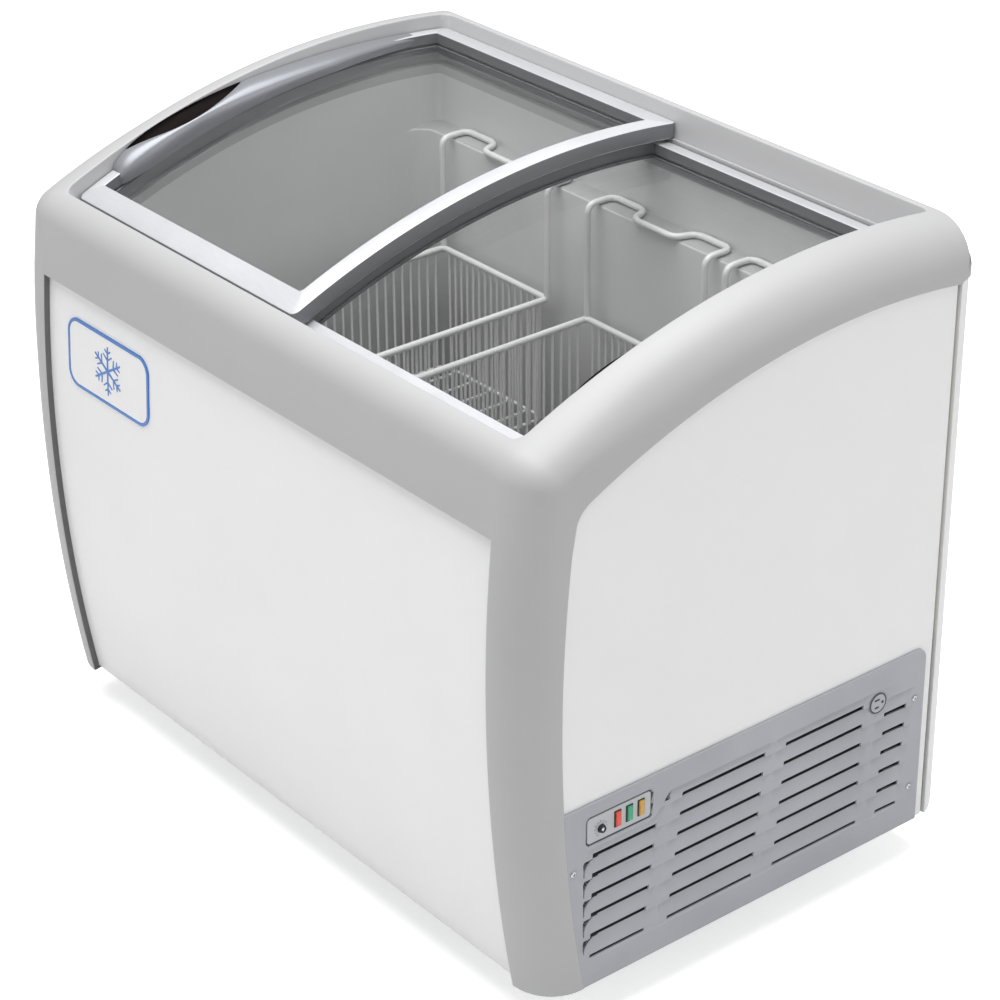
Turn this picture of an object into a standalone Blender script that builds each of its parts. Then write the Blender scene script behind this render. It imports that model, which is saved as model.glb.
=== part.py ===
"""Chest freezer with two curved sliding glass lids, hanging baskets and a side machine bay.

Metres, +Z up. The floor is z = 0, the front faces -Y, and the ventilated side faces +X.
The origin is the middle of the footprint.
"""

import math

import bmesh
import bpy
import numpy as np
from mathutils import Matrix, Vector

GAP = 0.0003  # clearance between neighbouring pieces
EXACT = 1e-6  # two lengths closer than this are equal
UP = (0, 0, 1)
RIGHT = (1, 0, 0)

# Outer body
HALF_W = 0.510
FRONT = -0.3366
BACK = 0.3366
BODY_Z = 0.060  # underside of the body, above the floor

# Bowed front: widest at BOW_Z, one large arc down to the foot and another up to the rim's round
BOW_Z = 0.460
BOW_R = 2.265
CROWN_R = 1.950
FRONT_ROUND = 0.045

# Curved top: one arc along Y, and the lids follow it
ARC_Y = 0.186
ARC_R = 1.111
ARC_TOP = 0.866

# Lower edge of the grey rim, seen from the side
BAND_Y = 0.190
BAND_R = 0.957
BAND_TOP = 0.795
BAND_FRONT_Z = 0.655

# Edge between the side panel and the corner post
POST_X = 0.451  # inner face of the corner posts
REAR_POST_X = 0.4805
REAR_POST_Y = 0.3146
REAR_POST_TOP = 0.783
POST_EDGE_Y = -0.2747
POST_EDGE_Z = 0.420
POST_EDGE_R = 1.900
GROOVE_Y = 0.3116

# Rounding of the envelope across X
POST_ROUND = 0.045
RIM_ROUND = 0.058
REAR_ROUND = 0.020

# Panels
PANEL_SINK = 0.009  # the front panel lies this far behind the posts
SHEET = 0.0015
SIDE_X = 0.507  # outer face of the side panels

# Lid opening, and the two lid levels as depths below the top arc
OPEN_X = 0.449
OPEN_Y = (-0.288, 0.324)
UPPER_Y = (-0.270, 0.321)
LOWER_Y = (-0.262, 0.312)
FRAME_T = 0.021
UPPER_D = 0.0190
LOWER_D = 0.0445
GLASS_SINK = 0.0145
GLASS_T = 0.004
GLASS_Y = (-0.240, 0.292)
LID_OUT = 0.4475
LID_OVER = 0.020
LID_RAIL = 0.027
LID_SIDE = 0.0165

# Liner
MOUTH_X = 0.436
MOUTH_Y = (-0.2495, 0.2995)
LINER_X = 0.438
LINER_T = 0.002
WALL_Y = (-0.2185, 0.268)
LEDGE_Z = (0.655, 0.715)  # front and back hanging ledges
FLOOR_Z = 0.130
STEP_X = 0.165
STEP_Z = 0.365

# Machine bay
BAY_X = 0.2135
BAY_Y = -0.2385
BAY_Z = 0.318
PAN_T = 0.004
GRILLE_TOP = 0.3117
GRILLE_BACK = 0.3036
GRILLE_CORNER = 0.015
SLOT_HALF = 0.0052
SLOT_PITCH = 0.0277
SLOT_Z = 0.2420  # the row of slots that is numbered 0

# Baskets
BASKET_W = 0.230
BASKET_X = (-0.2575, 0.0440, 0.3020)
BASKET_Y = (-0.2030, 0.2535)
BASKET_Z = (0.378, 0.565)
WIRE_R = 0.0035

# Controls on the ventilated side, as (y, z)
DIAL = (-0.2192, 0.2740)
BEZEL_Y = (-0.2390, -0.1440)
BEZEL_Z = (0.2575, 0.2925)
LAMPS = (("indicator_red", -0.1940), ("indicator_green", -0.1765), ("indicator_amber", -0.1590))
LAMP_Z = 0.2760
LAMP_HALF_Y = 0.0050
LAMP_HALF_Z = 0.0105
SOCKET = (0.2229, 0.2616)
SOCKET_R = 0.0135
SCREWS = (("front", -0.2590, 0.2274), ("upper", 0.2869, 0.2433), ("lower", 0.2866, 0.1147))
FAN = (-0.090, 0.170)

# Badge on the front panel
BADGE_X = (-0.405, -0.220)
BADGE_Z = (0.523, 0.617)
BADGE_T = 0.002
BADGE_CORNER = 0.018

# Raised grip on the left lid: front end, highest place and rear end, then its finger pocket, along Y
GRIP_WALL = -0.4470
GRIP_Y = (-0.217, -0.155, 0.255)
GRIP_HIGH = 0.0175
GRIP_FADE = 0.190
POCKET_Y = (-0.198, -0.015)
POCKET_WIDE = 0.029
GRIP_OVERHANG = 0.0125  # how far the grip bulges over the glass

# Low pull on the right lid, along Y
PULL_WALL = 0.4440
PULL_Y = (-0.215, -0.035)

# Drain through the liner floor, as (x, y)
DRAIN = (-0.300, -0.120)

# Casters
CASTER_X = 0.360
CASTER_Y = (-0.170, 0.215)
WHEEL_R = 0.020
WHEEL_HALF = 0.009
TRAIL = 0.016


def new_collection(name):
    found = bpy.data.collections.new(name)
    bpy.context.scene.collection.children.link(found)
    return found


def material(name, colour, roughness, metallic=0.0, transmission=0.0):
    mat = bpy.data.materials.new(name)
    mat.use_nodes = True
    shader = mat.node_tree.nodes["Principled BSDF"]
    shader.inputs["Base Color"].default_value = (*colour, 1.0)
    shader.inputs["Roughness"].default_value = roughness
    shader.inputs["Metallic"].default_value = metallic
    shader.inputs["Transmission Weight"].default_value = transmission
    return mat


# Shapes. A look makes a visible part; without one the shape is a hidden cutter.


def place(obj, look):
    """Puts a new object in the collection of parts, or hides it among the cutters."""
    if look is None:
        cutters.objects.link(obj)
        obj.hide_render = True
        obj.display_type = "WIRE"
    else:
        parts.objects.link(obj)
        obj.data.materials.append(look)
    return obj


def mesh_object(name, bm, look, matrix=None):
    mesh = bpy.data.meshes.new(name)
    bm.to_mesh(mesh)
    bm.free()
    obj = bpy.data.objects.new(name, mesh)
    if matrix is not None:
        obj.matrix_world = matrix
    return place(obj, look)


def smooth(obj):
    obj.data.shade_smooth()
    obj.data.set_sharp_from_angle(angle=math.radians(35))
    return obj


def box(name, x, y, z, look=None):
    """A box between two limits on each axis, with its origin in its middle."""
    low = Vector([min(pair) for pair in (x, y, z)])
    high = Vector([max(pair) for pair in (x, y, z)])
    bm = bmesh.new()
    bmesh.ops.create_cube(bm, size=1.0, matrix=Matrix.Diagonal((*(high - low), 1.0)))
    return mesh_object(name, bm, look, Matrix.Translation((low + high) / 2))


def towards(centre, axis):
    """A frame at centre whose Z lies along axis."""
    return Matrix.Translation(centre) @ Vector(axis).to_track_quat("Z", "Y").to_matrix().to_4x4()


def rod(name, centre, axis, along, radius, look=None, segments=16):
    """A cylinder from along[0] to along[1] on an axis through centre."""
    bm = bmesh.new()
    middle = Matrix.Translation((0, 0, sum(along) / 2))
    bmesh.ops.create_cone(
        bm,
        cap_ends=True,
        segments=segments,
        radius1=radius,
        radius2=radius,
        depth=along[1] - along[0],
        matrix=middle,
    )
    return smooth(mesh_object(name, bm, look, towards(centre, axis)))


def turned(name, profile, centre, axis, look=None, segments=24, bored=False):
    """A profile of (height, radius) steps, lowest first, turned round an axis through centre."""
    steps = list(reversed(profile))
    if not bored:
        steps = [(steps[0][0], 0.0)] + steps + [(steps[-1][0], 0.0)]
    bm = bmesh.new()
    corners = [bm.verts.new((radius, 0.0, height)) for height, radius in steps]
    for a, b in zip(corners, corners[1:]):
        bm.edges.new((a, b))
    if bored:
        bm.edges.new((corners[-1], corners[0]))
    obj = mesh_object(name, bm, look, towards(centre, axis))
    screw = obj.modifiers.new("turn", "SCREW")
    screw.steps = segments
    screw.render_steps = segments
    screw.use_merge_vertices = True
    screw.merge_threshold = 0.00001
    return obj


def as_mesh(obj, look):
    """The same shape as a welded mesh, in place of a curve, so that it can be cut or joined."""
    bpy.context.view_layer.update()
    graph = bpy.context.evaluated_depsgraph_get()
    mesh = bpy.data.meshes.new_from_object(obj.evaluated_get(graph))
    bm = bmesh.new()
    bm.from_mesh(mesh)
    bmesh.ops.remove_doubles(bm, verts=bm.verts, dist=0.00001)
    bm.to_mesh(mesh)
    bm.free()
    name, matrix = obj.name, obj.matrix_world.copy()
    bpy.data.objects.remove(obj)
    made = bpy.data.objects.new(name, mesh)
    made.matrix_world = matrix
    mesh.materials.clear()
    return place(made, look)


def curve_object(name, lines, matrix, closed):
    """A curve of straight runs: flat and closed for an outline, or free and open for a wire."""
    data = bpy.data.curves.new(name, "CURVE")
    data.dimensions = "2D" if closed else "3D"
    for points in lines:
        spline = data.splines.new("POLY")
        spline.points.add(len(points) - 1)
        for corner, point in zip(spline.points, points):
            corner.co = (*point, 0.0, 1.0) if closed else (*point, 1.0)
        spline.use_cyclic_u = closed
    obj = bpy.data.objects.new(name, data)
    obj.matrix_world = matrix
    parts.objects.link(obj)
    return obj


YZ_PLANE = Matrix(((0, 0, 1, 0), (1, 0, 0, 0), (0, 1, 0, 0), (0, 0, 0, 1)))
XZ_PLANE = Matrix(((1, 0, 0, 0), (0, 0, -1, 0), (0, 1, 0, 0), (0, 0, 0, 1)))


def thickened(name, outlines, plane, middle, thickness, look):
    obj = curve_object(name, outlines, Matrix.Translation(middle) @ plane, True)
    obj.data.fill_mode = "BOTH"
    obj.data.extrude = thickness / 2
    return as_mesh(obj, look)


def plate(name, outline, x, look=None):
    """A flat (y, z) outline, thickened between two places on X."""
    return thickened(name, [outline], YZ_PLANE, ((x[0] + x[1]) / 2, 0, 0), abs(x[1] - x[0]), look)


def wire(name, path, radius, look=None, resolution=1):
    """A round wire or pipe along a path."""
    obj = curve_object(name, [[tuple(point) for point in path]], Matrix(), False)
    obj.data.bevel_depth = radius
    obj.data.bevel_resolution = resolution
    obj.data.use_fill_caps = True
    return smooth(as_mesh(obj, look))


def loft(name, rings, look=None):
    """A skin over unlike sections of equal length, capped at both ends."""
    bm = bmesh.new()
    grid = [[bm.verts.new(point) for point in ring] for ring in rings]
    n = len(rings[0])
    for a, b in zip(grid, grid[1:]):
        for i in range(n):
            bm.faces.new((a[i], a[(i + 1) % n], b[(i + 1) % n], b[i]))
    bm.faces.new(reversed(grid[0]))
    bm.faces.new(grid[-1])
    bmesh.ops.recalc_face_normals(bm, faces=bm.faces)
    return mesh_object(name, bm, look)


def rounded_path(corners, radius, steps=3):
    """The corners of a path, each replaced with a short curve."""
    corners = [Vector(c) for c in corners]
    path = [corners[0]]
    for a, b, c in zip(corners, corners[1:], corners[2:]):
        before, after = (a - b).normalized(), (c - b).normalized()
        reach = min(radius, (a - b).length * 0.49, (c - b).length * 0.49)
        start, end = b + before * reach, b + after * reach
        for i in range(steps + 1):
            t = i / steps
            path.append(start * (1 - t) ** 2 + b * 2 * t * (1 - t) + end * t**2)
    return path + [corners[-1]]


def combine(obj, other, operation):
    modifier = obj.modifiers.new(f"{operation.lower()} {other.name}", "BOOLEAN")
    modifier.operation = operation
    modifier.solver = "EXACT"
    modifier.object = other
    return obj


def cut(obj, *others):
    for other in others:
        combine(obj, other, "DIFFERENCE")
    return obj


def join(obj, *others):
    for other in others:
        combine(obj, other, "UNION")
    return obj


def bevel_edges(obj, width, segments, chosen):
    """Rounds the edges whose two end points the test accepts."""
    weights = obj.data.attributes.new("bevel_weight_edge", "FLOAT", "EDGE")
    for edge in obj.data.edges:
        ends = [obj.matrix_world @ obj.data.vertices[i].co for i in edge.vertices]
        weights.data[edge.index].value = 1.0 if chosen(*ends) else 0.0
    modifier = obj.modifiers.new("rounded edges", "BEVEL")
    modifier.limit_method = "WEIGHT"
    modifier.width = width
    modifier.segments = segments
    return obj


def upright(a, b):
    return abs(a.x - b.x) < EXACT and abs(a.y - b.y) < EXACT


def pivot(name, place_at, *pieces):
    """An empty on a joint's axis that carries the pieces moving on it."""
    bpy.context.view_layer.update()
    empty = bpy.data.objects.new(name, None)
    empty.empty_display_size = 0.03
    parts.objects.link(empty)
    empty.location = place_at
    bpy.context.view_layer.update()
    for piece in pieces:
        piece.parent = empty
        piece.matrix_parent_inverse = empty.matrix_world.inverted()
    return empty


# Curves of the body


def front_y(z):
    radius = CROWN_R if z > BOW_Z else BOW_R
    return FRONT + radius - math.sqrt(radius**2 - (BOW_Z - z) ** 2)


def front_round():
    """Centre (y, z) of the round between the bowed front and the top arc, and its first and last turn."""
    crown, arc = Vector((FRONT + CROWN_R, BOW_Z)), Vector((ARC_Y, ARC_TOP - ARC_R))
    crown_reach, arc_reach = CROWN_R - FRONT_ROUND, ARC_R - FRONT_ROUND
    apart = (arc - crown).length
    along = (crown_reach**2 - arc_reach**2 + apart**2) / (2 * apart)
    way = (arc - crown).normalized()
    centre = crown + way * along + Vector((way.y, -way.x)) * math.sqrt(crown_reach**2 - along**2)
    start = math.acos((centre.y - BOW_Z) / crown_reach)
    return centre, start, math.asin((ARC_Y - centre.x) / arc_reach)


def arc_z(y, depth=0.0):
    """Height of the top arc at y, or of the arc that lies depth inside it."""
    return ARC_TOP - ARC_R + math.sqrt((ARC_R - depth) ** 2 - (y - ARC_Y) ** 2)


def band_z(y):
    return BAND_TOP - BAND_R + math.sqrt(BAND_R**2 - (y - BAND_Y) ** 2)


def post_edge_y(z):
    return POST_EDGE_Y + POST_EDGE_R - math.sqrt(POST_EDGE_R**2 - (z - POST_EDGE_Z) ** 2)


def spread(a, b, count):
    return [float(t) for t in np.linspace(a, b, count)]


def around(centre, half):
    return (centre - half, centre + half)


def band_line(start, end, drop=0.0, count=12):
    """The rim's lower edge from y = start to y = end."""
    return [(y, max(band_z(y), BAND_FRONT_Z) - drop) for y in spread(start, end, count)]


def side_outline(inset=0.0, top=None):
    """The side panel's outline, or only the part of it under top, starting at its lower front corner."""
    low = BODY_Z + GAP
    high = 0.664 if top is None else top
    line = [(post_edge_y(z) + inset, z) for z in spread(low, high, 8)]
    if top is not None:
        return line
    corner = (-0.2570, 0.686)
    bend = rounded_path([(0, *line[-1]), (0, *corner), (0, -0.232, band_z(-0.232))], 0.03, 3)
    line += [(p.y + inset, p.z - inset) for p in bend[1:-1]]
    line += [(y, z - inset) for y, z in band_line(-0.225, GROOVE_Y, count=12)]
    return line + [(GROOVE_Y, low)]


def envelope_stations():
    """(y, z, inward y, inward z, reach in x) round the body from the front foot to the back foot."""
    heights = spread(BODY_Z, BOW_Z, 6) + spread(BOW_Z, BAND_FRONT_Z, 4)[1:]
    found = [(front_y(z), z, POST_ROUND, 0.0, POST_ROUND) for z in heights]
    centre, start, end = front_round()
    for t in spread(0.0, 1.0, 6):
        turn = start * (1 - t) + end * t
        deep = POST_ROUND + (RIM_ROUND - POST_ROUND) * t
        y = centre.x - FRONT_ROUND * math.sin(turn)
        z = centre.y + FRONT_ROUND * math.cos(turn)
        found.append((y, z, deep * math.sin(turn), -deep * math.cos(turn), deep))
    for y in spread(found[-1][0], 0.262, 13)[1:]:
        turn = math.asin((ARC_Y - y) / ARC_R)
        inward = (RIM_ROUND * math.sin(turn), -RIM_ROUND * math.cos(turn))
        found.append((y, arc_z(y), *inward, RIM_ROUND))
    found.append((BACK, arc_z(BACK), -REAR_ROUND, -0.054, RIM_ROUND))
    found.append((BACK, arc_z(BACK) - 0.062, -REAR_ROUND, 0.0, REAR_ROUND))
    found.append((BACK, BODY_Z, -REAR_ROUND, 0.0, REAR_ROUND))
    return found


def envelope(name, look=None):
    """The outside of the rim and the posts as one solid, for cutting pieces out of."""
    rings = []
    for side in (-1, 1):
        turns = spread(math.pi / 2, 0.0, 5)
        for u in turns if side < 0 else reversed(turns):
            ring = []
            for y, z, in_y, in_z, reach in envelope_stations():
                x = side * (HALF_W - reach * (1 - math.sin(u)))
                sink = 1 - math.cos(u)
                ring.append((x, y + in_y * sink, z + in_z * sink))
            rings.append(ring)
    return loft(name, rings, look)


def arc_slab(name, x, y, depth, look=None, top=None, count=14):
    """A plate that follows the top arc between two depths, or from the deeper one up to a flat top."""
    ys = spread(y[0], y[1], count)
    low = [(v, arc_z(v, depth[1])) for v in ys]
    if top is None:
        high = [(v, arc_z(v, depth[0])) for v in reversed(ys)]
    else:
        high = [(y[1], top), (y[0], top)]
    return plate(name, low + high, x, look)


# Rim, posts and panels


def top_frame(look):
    frame = envelope("top_frame", look)
    under = [(-0.40, 0.0), (-0.40, BAND_FRONT_Z)] + band_line(-0.3148, 0.345, count=20) + [(0.345, 0.0)]
    cut(frame, plate("below_rim", under, (-0.6, 0.6)))
    upper = arc_slab("upper_recess", (-OPEN_X, OPEN_X), OPEN_Y, (0, UPPER_D + FRAME_T + GAP), top=0.95)
    bevel_edges(upper, 0.004, 3, upright)
    lower_ends = (LOWER_Y[0] - 0.0025, LOWER_Y[1] + 0.0025)
    lower_depth = LOWER_D + FRAME_T + GAP
    lower = arc_slab("lower_recess", (-OPEN_X, OPEN_X), lower_ends, (0, lower_depth), top=0.94)
    mouth = box("mouth", (-MOUTH_X, MOUTH_X), MOUTH_Y, (0.5, 0.93))
    return cut(frame, upper, lower, mouth)


def corner_post(name, side, look):
    """Front corner post: the part of the envelope between the front panel and a side panel."""
    post = envelope(name, look)
    edge = side_outline()[:10]
    joint = band_line(-0.3148, -0.2525, GAP, 5)
    zone = [(-0.40, 0.0), (-0.40, BAND_FRONT_Z - GAP)] + joint + list(reversed(edge)) + [(edge[0][0], 0.0)]
    keep = plate(f"zone_{name}", zone, (side * POST_X, side * 0.6))
    return combine(post, keep, "INTERSECT")


def rear_post(name, side, look):
    x = (side * REAR_POST_X, side * SIDE_X)
    post = box(name, x, (REAR_POST_Y, BACK - 2 * GAP), (BODY_Z, REAR_POST_TOP), look)

    def outer(a, b):
        return upright(a, b) and abs(a.x) > SIDE_X - GAP and a.y > REAR_POST_Y + GAP

    return bevel_edges(post, 0.012, 3, outer)


def front_panel(look):
    outer = [(front_y(z) + PANEL_SINK, z) for z in spread(BODY_Z + GAP, BAND_FRONT_Z - GAP, 14)]
    inner = [(y + SHEET, z) for y, z in reversed(outer)]
    x = POST_X - GAP
    return plate("front_panel", outer + inner, (-x, x), look)


def badge(look):
    """A thin plate that follows the bowed panel, with rounded corners."""
    rear = [(front_y(z) + PANEL_SINK - GAP, z) for z in spread(*BADGE_Z, 5)]
    face = [(y - BADGE_T, z) for y, z in reversed(rear)]
    plain = plate("badge", rear + face, BADGE_X, look)

    def corner(a, b):
        at_side = abs(a.x - b.x) < EXACT and abs(a.z - b.z) < EXACT
        return at_side and (abs(a.z - BADGE_Z[0]) < EXACT or abs(a.z - BADGE_Z[1]) < EXACT)

    return bevel_edges(plain, BADGE_CORNER, 4, corner)


def side_panel(name, side, look, opening=None):
    x = (side * (SIDE_X - SHEET), side * SIDE_X)
    panel = plate(name, side_outline(3 * GAP), x, look)
    return cut(panel, opening) if opening else panel


def back_panel(look):
    high = band_z(BACK) - 2 * GAP
    panel = box("back_panel", (-0.480, 0.480), (BACK - SHEET, BACK), (BODY_Z + GAP, high), look)
    left, right, height = 0.26, 0.44, 0.007
    slots = [
        [(left, z), (right, z), (right, z + height), (left, z + height)]
        for z in spread(0.10, 0.27, 6)
    ]
    return cut(panel, thickened("back_slots", slots, XZ_PLANE, (0, BACK, 0), 0.04, None))


# Body inside


def base_pan(look):
    z = (BODY_Z, BODY_Z + PAN_T)
    pan = box("base_pan", (-0.5052, 0.5052), (-0.2380, 0.3142), z, look)
    toe = box("pan_toe", (-0.4504, 0.4504), (-0.2880, -0.2300), z)
    heel = box("pan_heel", (-0.4800, 0.4800), (0.3000, 0.3342), z)
    drain = rod("pan_drain", (*DRAIN, BODY_Z), UP, (-0.01, 0.02), 0.011)
    return cut(join(pan, toe, heel), drain)


def machine_bulkhead(look):
    low = BODY_Z + PAN_T + GAP
    shell = box("machine_bulkhead", (BAY_X, 0.5030), (BAY_Y, 0.3340), (low, BAY_Z), look)
    hollow = box("bay_hollow", (BAY_X + SHEET, 0.52), (BAY_Y + SHEET, 0.35), (0.0, BAY_Z - SHEET))
    post = box("post_space", (0.4800, 0.53), (0.3142, 0.36), (-0.1, 0.5))
    return cut(shell, hollow, post)


def foam_insulation(look):
    low = BODY_Z + PAN_T + GAP
    front = [(front_y(z) + PANEL_SINK + SHEET + GAP, z) for z in spread(low, 0.640, 10)]
    top = band_line(-0.3148, 0.3342, 3 * GAP, 14)
    foam = plate("foam_insulation", front + top + [(0.3342, low)], (-0.4500, 0.4500), look)
    wing_top = band_line(-0.2300, 0.3120, 4 * GAP, 10)
    wings = plate("foam_wings", [(-0.2300, low)] + wing_top + [(0.3120, low)], (-0.5050, 0.5050))
    deep = box("pocket_deep", (-0.452, STEP_X + 0.014), (-0.232, 0.2815), (FLOOR_Z - 0.013, 0.700))
    shallow = box("pocket_shallow", (-0.40, 0.452), (-0.2319, 0.2814), (STEP_Z - 0.013, 0.700))
    collar = box("pocket_collar", (-0.4521, 0.4521), (-0.2645, 0.3145), (0.641, 0.90))
    bay = box("bay_space", (BAY_X - GAP, 0.52), (BAY_Y - GAP, 0.36), (0.0, BAY_Z + GAP))
    drain = rod("foam_drain", (*DRAIN, BODY_Z), UP, (-0.02, 0.10), 0.011)
    return cut(join(foam, wings), deep, shallow, collar, bay, drain)


def liner_profile(grow, top=0.90):
    """The liner's inner outline in (y, z), or one that lies grow outside it."""
    front, back = WALL_Y[0] - grow, WALL_Y[1] + grow
    mouth = (MOUTH_Y[0] - 0.002 - grow, MOUTH_Y[1] + 0.002 + grow)
    ledge = (LEDGE_Z[0] - grow, LEDGE_Z[1] - grow)
    floor = FLOOR_Z - grow
    lower = [(front, floor), (back, floor), (back, ledge[1]), (mouth[1], ledge[1])]
    return lower + [(mouth[1], top), (mouth[0], top), (mouth[0], ledge[0]), (front, ledge[0])]


def inner_liner(look):
    x = LINER_X + LINER_T
    liner = plate("inner_liner", liner_profile(LINER_T), (-x, x), look)
    outside = box("step_outside", (STEP_X + LINER_T, 0.6), (-0.5, 0.5), (0.0, STEP_Z - LINER_T))
    inside = plate("cavity", liner_profile(0.0, 0.95), (-LINER_X, LINER_X))
    cut(inside, box("step_inside", (STEP_X, 0.7), (-0.6, 0.6), (-0.1, STEP_Z)))
    above = [(-0.345, 1.0), (0.350, 1.0)] + list(reversed(band_line(-0.345, 0.350, GAP, 24)))
    drain = rod("liner_drain", (*DRAIN, FLOOR_Z), UP, (-0.02, 0.02), 0.008)
    return cut(liner, outside, inside, plate("above_liner", above, (-0.7, 0.7)), drain)


def drain_plug(look):
    low = -0.030
    profile = [(low, 0.0055), (0.0, 0.0074), (GAP, 0.0074), (GAP, 0.0120), (0.004, 0.0120)]
    profile += [(0.004, 0.0040), (0.016, 0.0040)]
    plug = turned("drain_plug", profile, (*DRAIN, FLOOR_Z), UP, look, 16)
    return pivot("drain_plug_lift", (*DRAIN, FLOOR_Z), plug)


def evaporator_coil(look):
    x, front, back = 0.4460, WALL_Y[0] - 0.0078, WALL_Y[1] + 0.0078
    corners = []
    turns = 5
    pitch = 0.045
    for k in range(turns * 4 + 1):
        z = 0.400 + pitch * k / 4
        cx, cy = ((-x, front), (x, front), (x, back), (-x, back))[k % 4]
        corners.append((cx, cy, z))
    return wire("evaporator_coil", rounded_path(corners, 0.008, 2), 0.004, look)


# Machine bay


def compressor(look):
    centre = (0.300, 0.190, 0.0)
    can = [(0.086, 0.050), (0.092, 0.068), (0.104, 0.075), (0.190, 0.075), (0.222, 0.062), (0.238, 0.030)]
    body = turned("compressor", can, centre, UP, look, 24)
    sole = box("compressor_sole", (0.225, 0.375), (0.100, 0.280), (0.080, 0.090))
    feet = [
        rod(f"compressor_foot_{x}_{y}", (x, y, 0.0), UP, (0.0645, 0.0850), 0.010, segments=12)
        for x in (0.240, 0.360)
        for y in (0.115, 0.265)
    ]
    return join(body, sole, *feet)


def condenser_coil(look):
    ends = (-0.190, 0.010)
    corners = []
    for i, z in enumerate(spread(0.092, 0.236, 7)):
        corners += [(0.474, ends[i % 2], z), (0.474, ends[(i + 1) % 2], z)]
    coil = wire("condenser_coil", rounded_path(corners, 0.010, 2), 0.004, look)
    plates = [
        box(f"condenser_plate_{i}", (0.460, 0.488), (y, y + 0.002), (0.0645, 0.250))
        for i, y in enumerate((-0.172, -0.010))
    ]
    return join(coil, *plates)


def fan_shroud(look):
    shroud = box("fan_shroud", (0.430, 0.434), (-0.190, 0.010), (0.0645, 0.275), look)
    hole = rod("fan_hole", (0.432, *FAN), RIGHT, (-0.02, 0.02), 0.088, segments=24)
    return cut(shroud, hole)


def fan_motor(look):
    profile = [(0.0, 0.020), (0.010, 0.030), (0.045, 0.030), (0.052, 0.012)]
    motor = turned("fan_motor", profile, (0.345, *FAN), RIGHT, look, 20)
    foot = box("fan_foot", (0.360, 0.380), (FAN[0] - 0.012, FAN[0] + 0.012), (0.0645, 0.150))
    sole = box("fan_sole", (0.345, 0.395), (FAN[0] - 0.025, FAN[0] + 0.025), (0.0645, 0.0680))
    shaft = rod("fan_shaft", (0.345, *FAN), RIGHT, (0.050, 0.070), 0.003)
    return join(motor, foot, sole, shaft)


def fan_blade(look):
    centre = Vector((0.398, *FAN))
    hub = turned("fan_blade", [(0.0, 0.018), (0.022, 0.018), (0.026, 0.010)], centre, RIGHT, look, 20)
    bore = rod("fan_bore", centre, RIGHT, (-0.01, 0.019), 0.0034)
    cut(hub, bore)
    for i in range(5):
        blade = box(f"blade_{i}", (-0.011, 0.011), (-0.0012, 0.0012), (-0.034, 0.034))
        pitch = Matrix.Rotation(math.radians(50), 4, "Z")
        turn = Matrix.Rotation(math.radians(72 * i), 4, "X")
        out = Matrix.Translation((0, 0, 0.044))
        blade.matrix_world = Matrix.Translation(centre + Vector((0.013, 0, 0))) @ turn @ out @ pitch
        join(hub, blade)
    return pivot("fan_spin", centre, hub)


def pipe_work(copper, black):
    profile = [(0.0, 0.004), (0.010, 0.011), (0.080, 0.011), (0.092, 0.004)]
    turned("filter_drier", profile, (0.425, 0.080, 0.120), (0, 1, 0), copper, 12)
    out = [(0.377, 0.190, 0.200), (0.415, 0.190, 0.200), (0.415, 0.060, 0.225), (0.474, 0.045, 0.236)]
    out += [(0.474, 0.017, 0.236)]
    wire("discharge_line", rounded_path(out, 0.02), 0.003, copper)
    back = [(0.300, 0.190, 0.2385), (0.300, 0.190, 0.290), (0.240, 0.190, 0.290), (0.240, 0.020, 0.290)]
    wire("suction_line", rounded_path(back, 0.02), 0.004, copper)
    cord = []
    for i in range(31):
        turn = 2 * math.pi * 2.5 * i / 30
        reach = 0.034 + 0.009 * turn / (2 * math.pi)
        cord.append((0.282 + reach * math.cos(turn), -0.150 + reach * math.sin(turn), 0.069))
    cord += [(0.232, -0.10, 0.069), (0.226, 0.05, 0.069), (0.222, 0.310, 0.069)]
    plug = box("plug", (0.300, 0.330), (-0.162, -0.138), (0.0645, 0.0850))
    join(wire("power_cord", cord, 0.0035, black), plug)


# Grille side


def grille_outline(inset=0.0):
    front = side_outline(3 * GAP + inset, GRILLE_TOP - inset)
    back, top, low = GRILLE_BACK - inset, GRILLE_TOP - inset, front[0][1]
    middle_y, middle_z = back - GRILLE_CORNER, top - GRILLE_CORNER
    bend = []
    for t in spread(0, math.pi / 2, 5):
        bend.append((middle_y + GRILLE_CORNER * math.sin(t), middle_z + GRILLE_CORNER * math.cos(t)))
    return front + bend + [(back, low)]


def grille_slots():
    """Stadium-shaped louvre slots in four columns, as one cutter."""
    columns = (
        (-0.2235, -0.1370, 0, 6),
        (-0.1010, 0.0330, -1, 6),
        (0.0680, 0.1975, -1, 6),
        (0.2320, 0.2770, 0, 6),
    )
    half = SLOT_HALF
    outlines = []
    for y0, y1, first, last in columns:
        for row in range(first, last):
            z = SLOT_Z - SLOT_PITCH * row
            end = [(y0 + half * (1 - math.sin(t)), z - half * math.cos(t)) for t in spread(math.pi, 0, 5)]
            outlines.append(end + [(y1, z - half), (y1, z + half)])
    return thickened("louvre_slots", outlines, YZ_PLANE, (HALF_W, 0, 0), 0.04, None)


def grille_panel(look):
    panel = plate("grille_panel", grille_outline(), (SIDE_X - SHEET, HALF_W), look)
    y = (BEZEL_Y[0] - GAP, BEZEL_Y[1] + GAP)
    z = (BEZEL_Z[0] - GAP, BEZEL_Z[1] + GAP)
    room = box("bezel_room", (0.49, 0.53), y, z)
    well = rod("socket_room", (HALF_W, *SOCKET), RIGHT, (-0.02, 0.02), SOCKET_R + GAP, segments=20)
    cut(panel, grille_slots(), room, well)
    for name, y, z in SCREWS:
        cut(panel, rod(f"hole_{name}", (HALF_W, y, z), RIGHT, (-0.02, 0.02), 0.0019, segments=10))
    return panel


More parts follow.
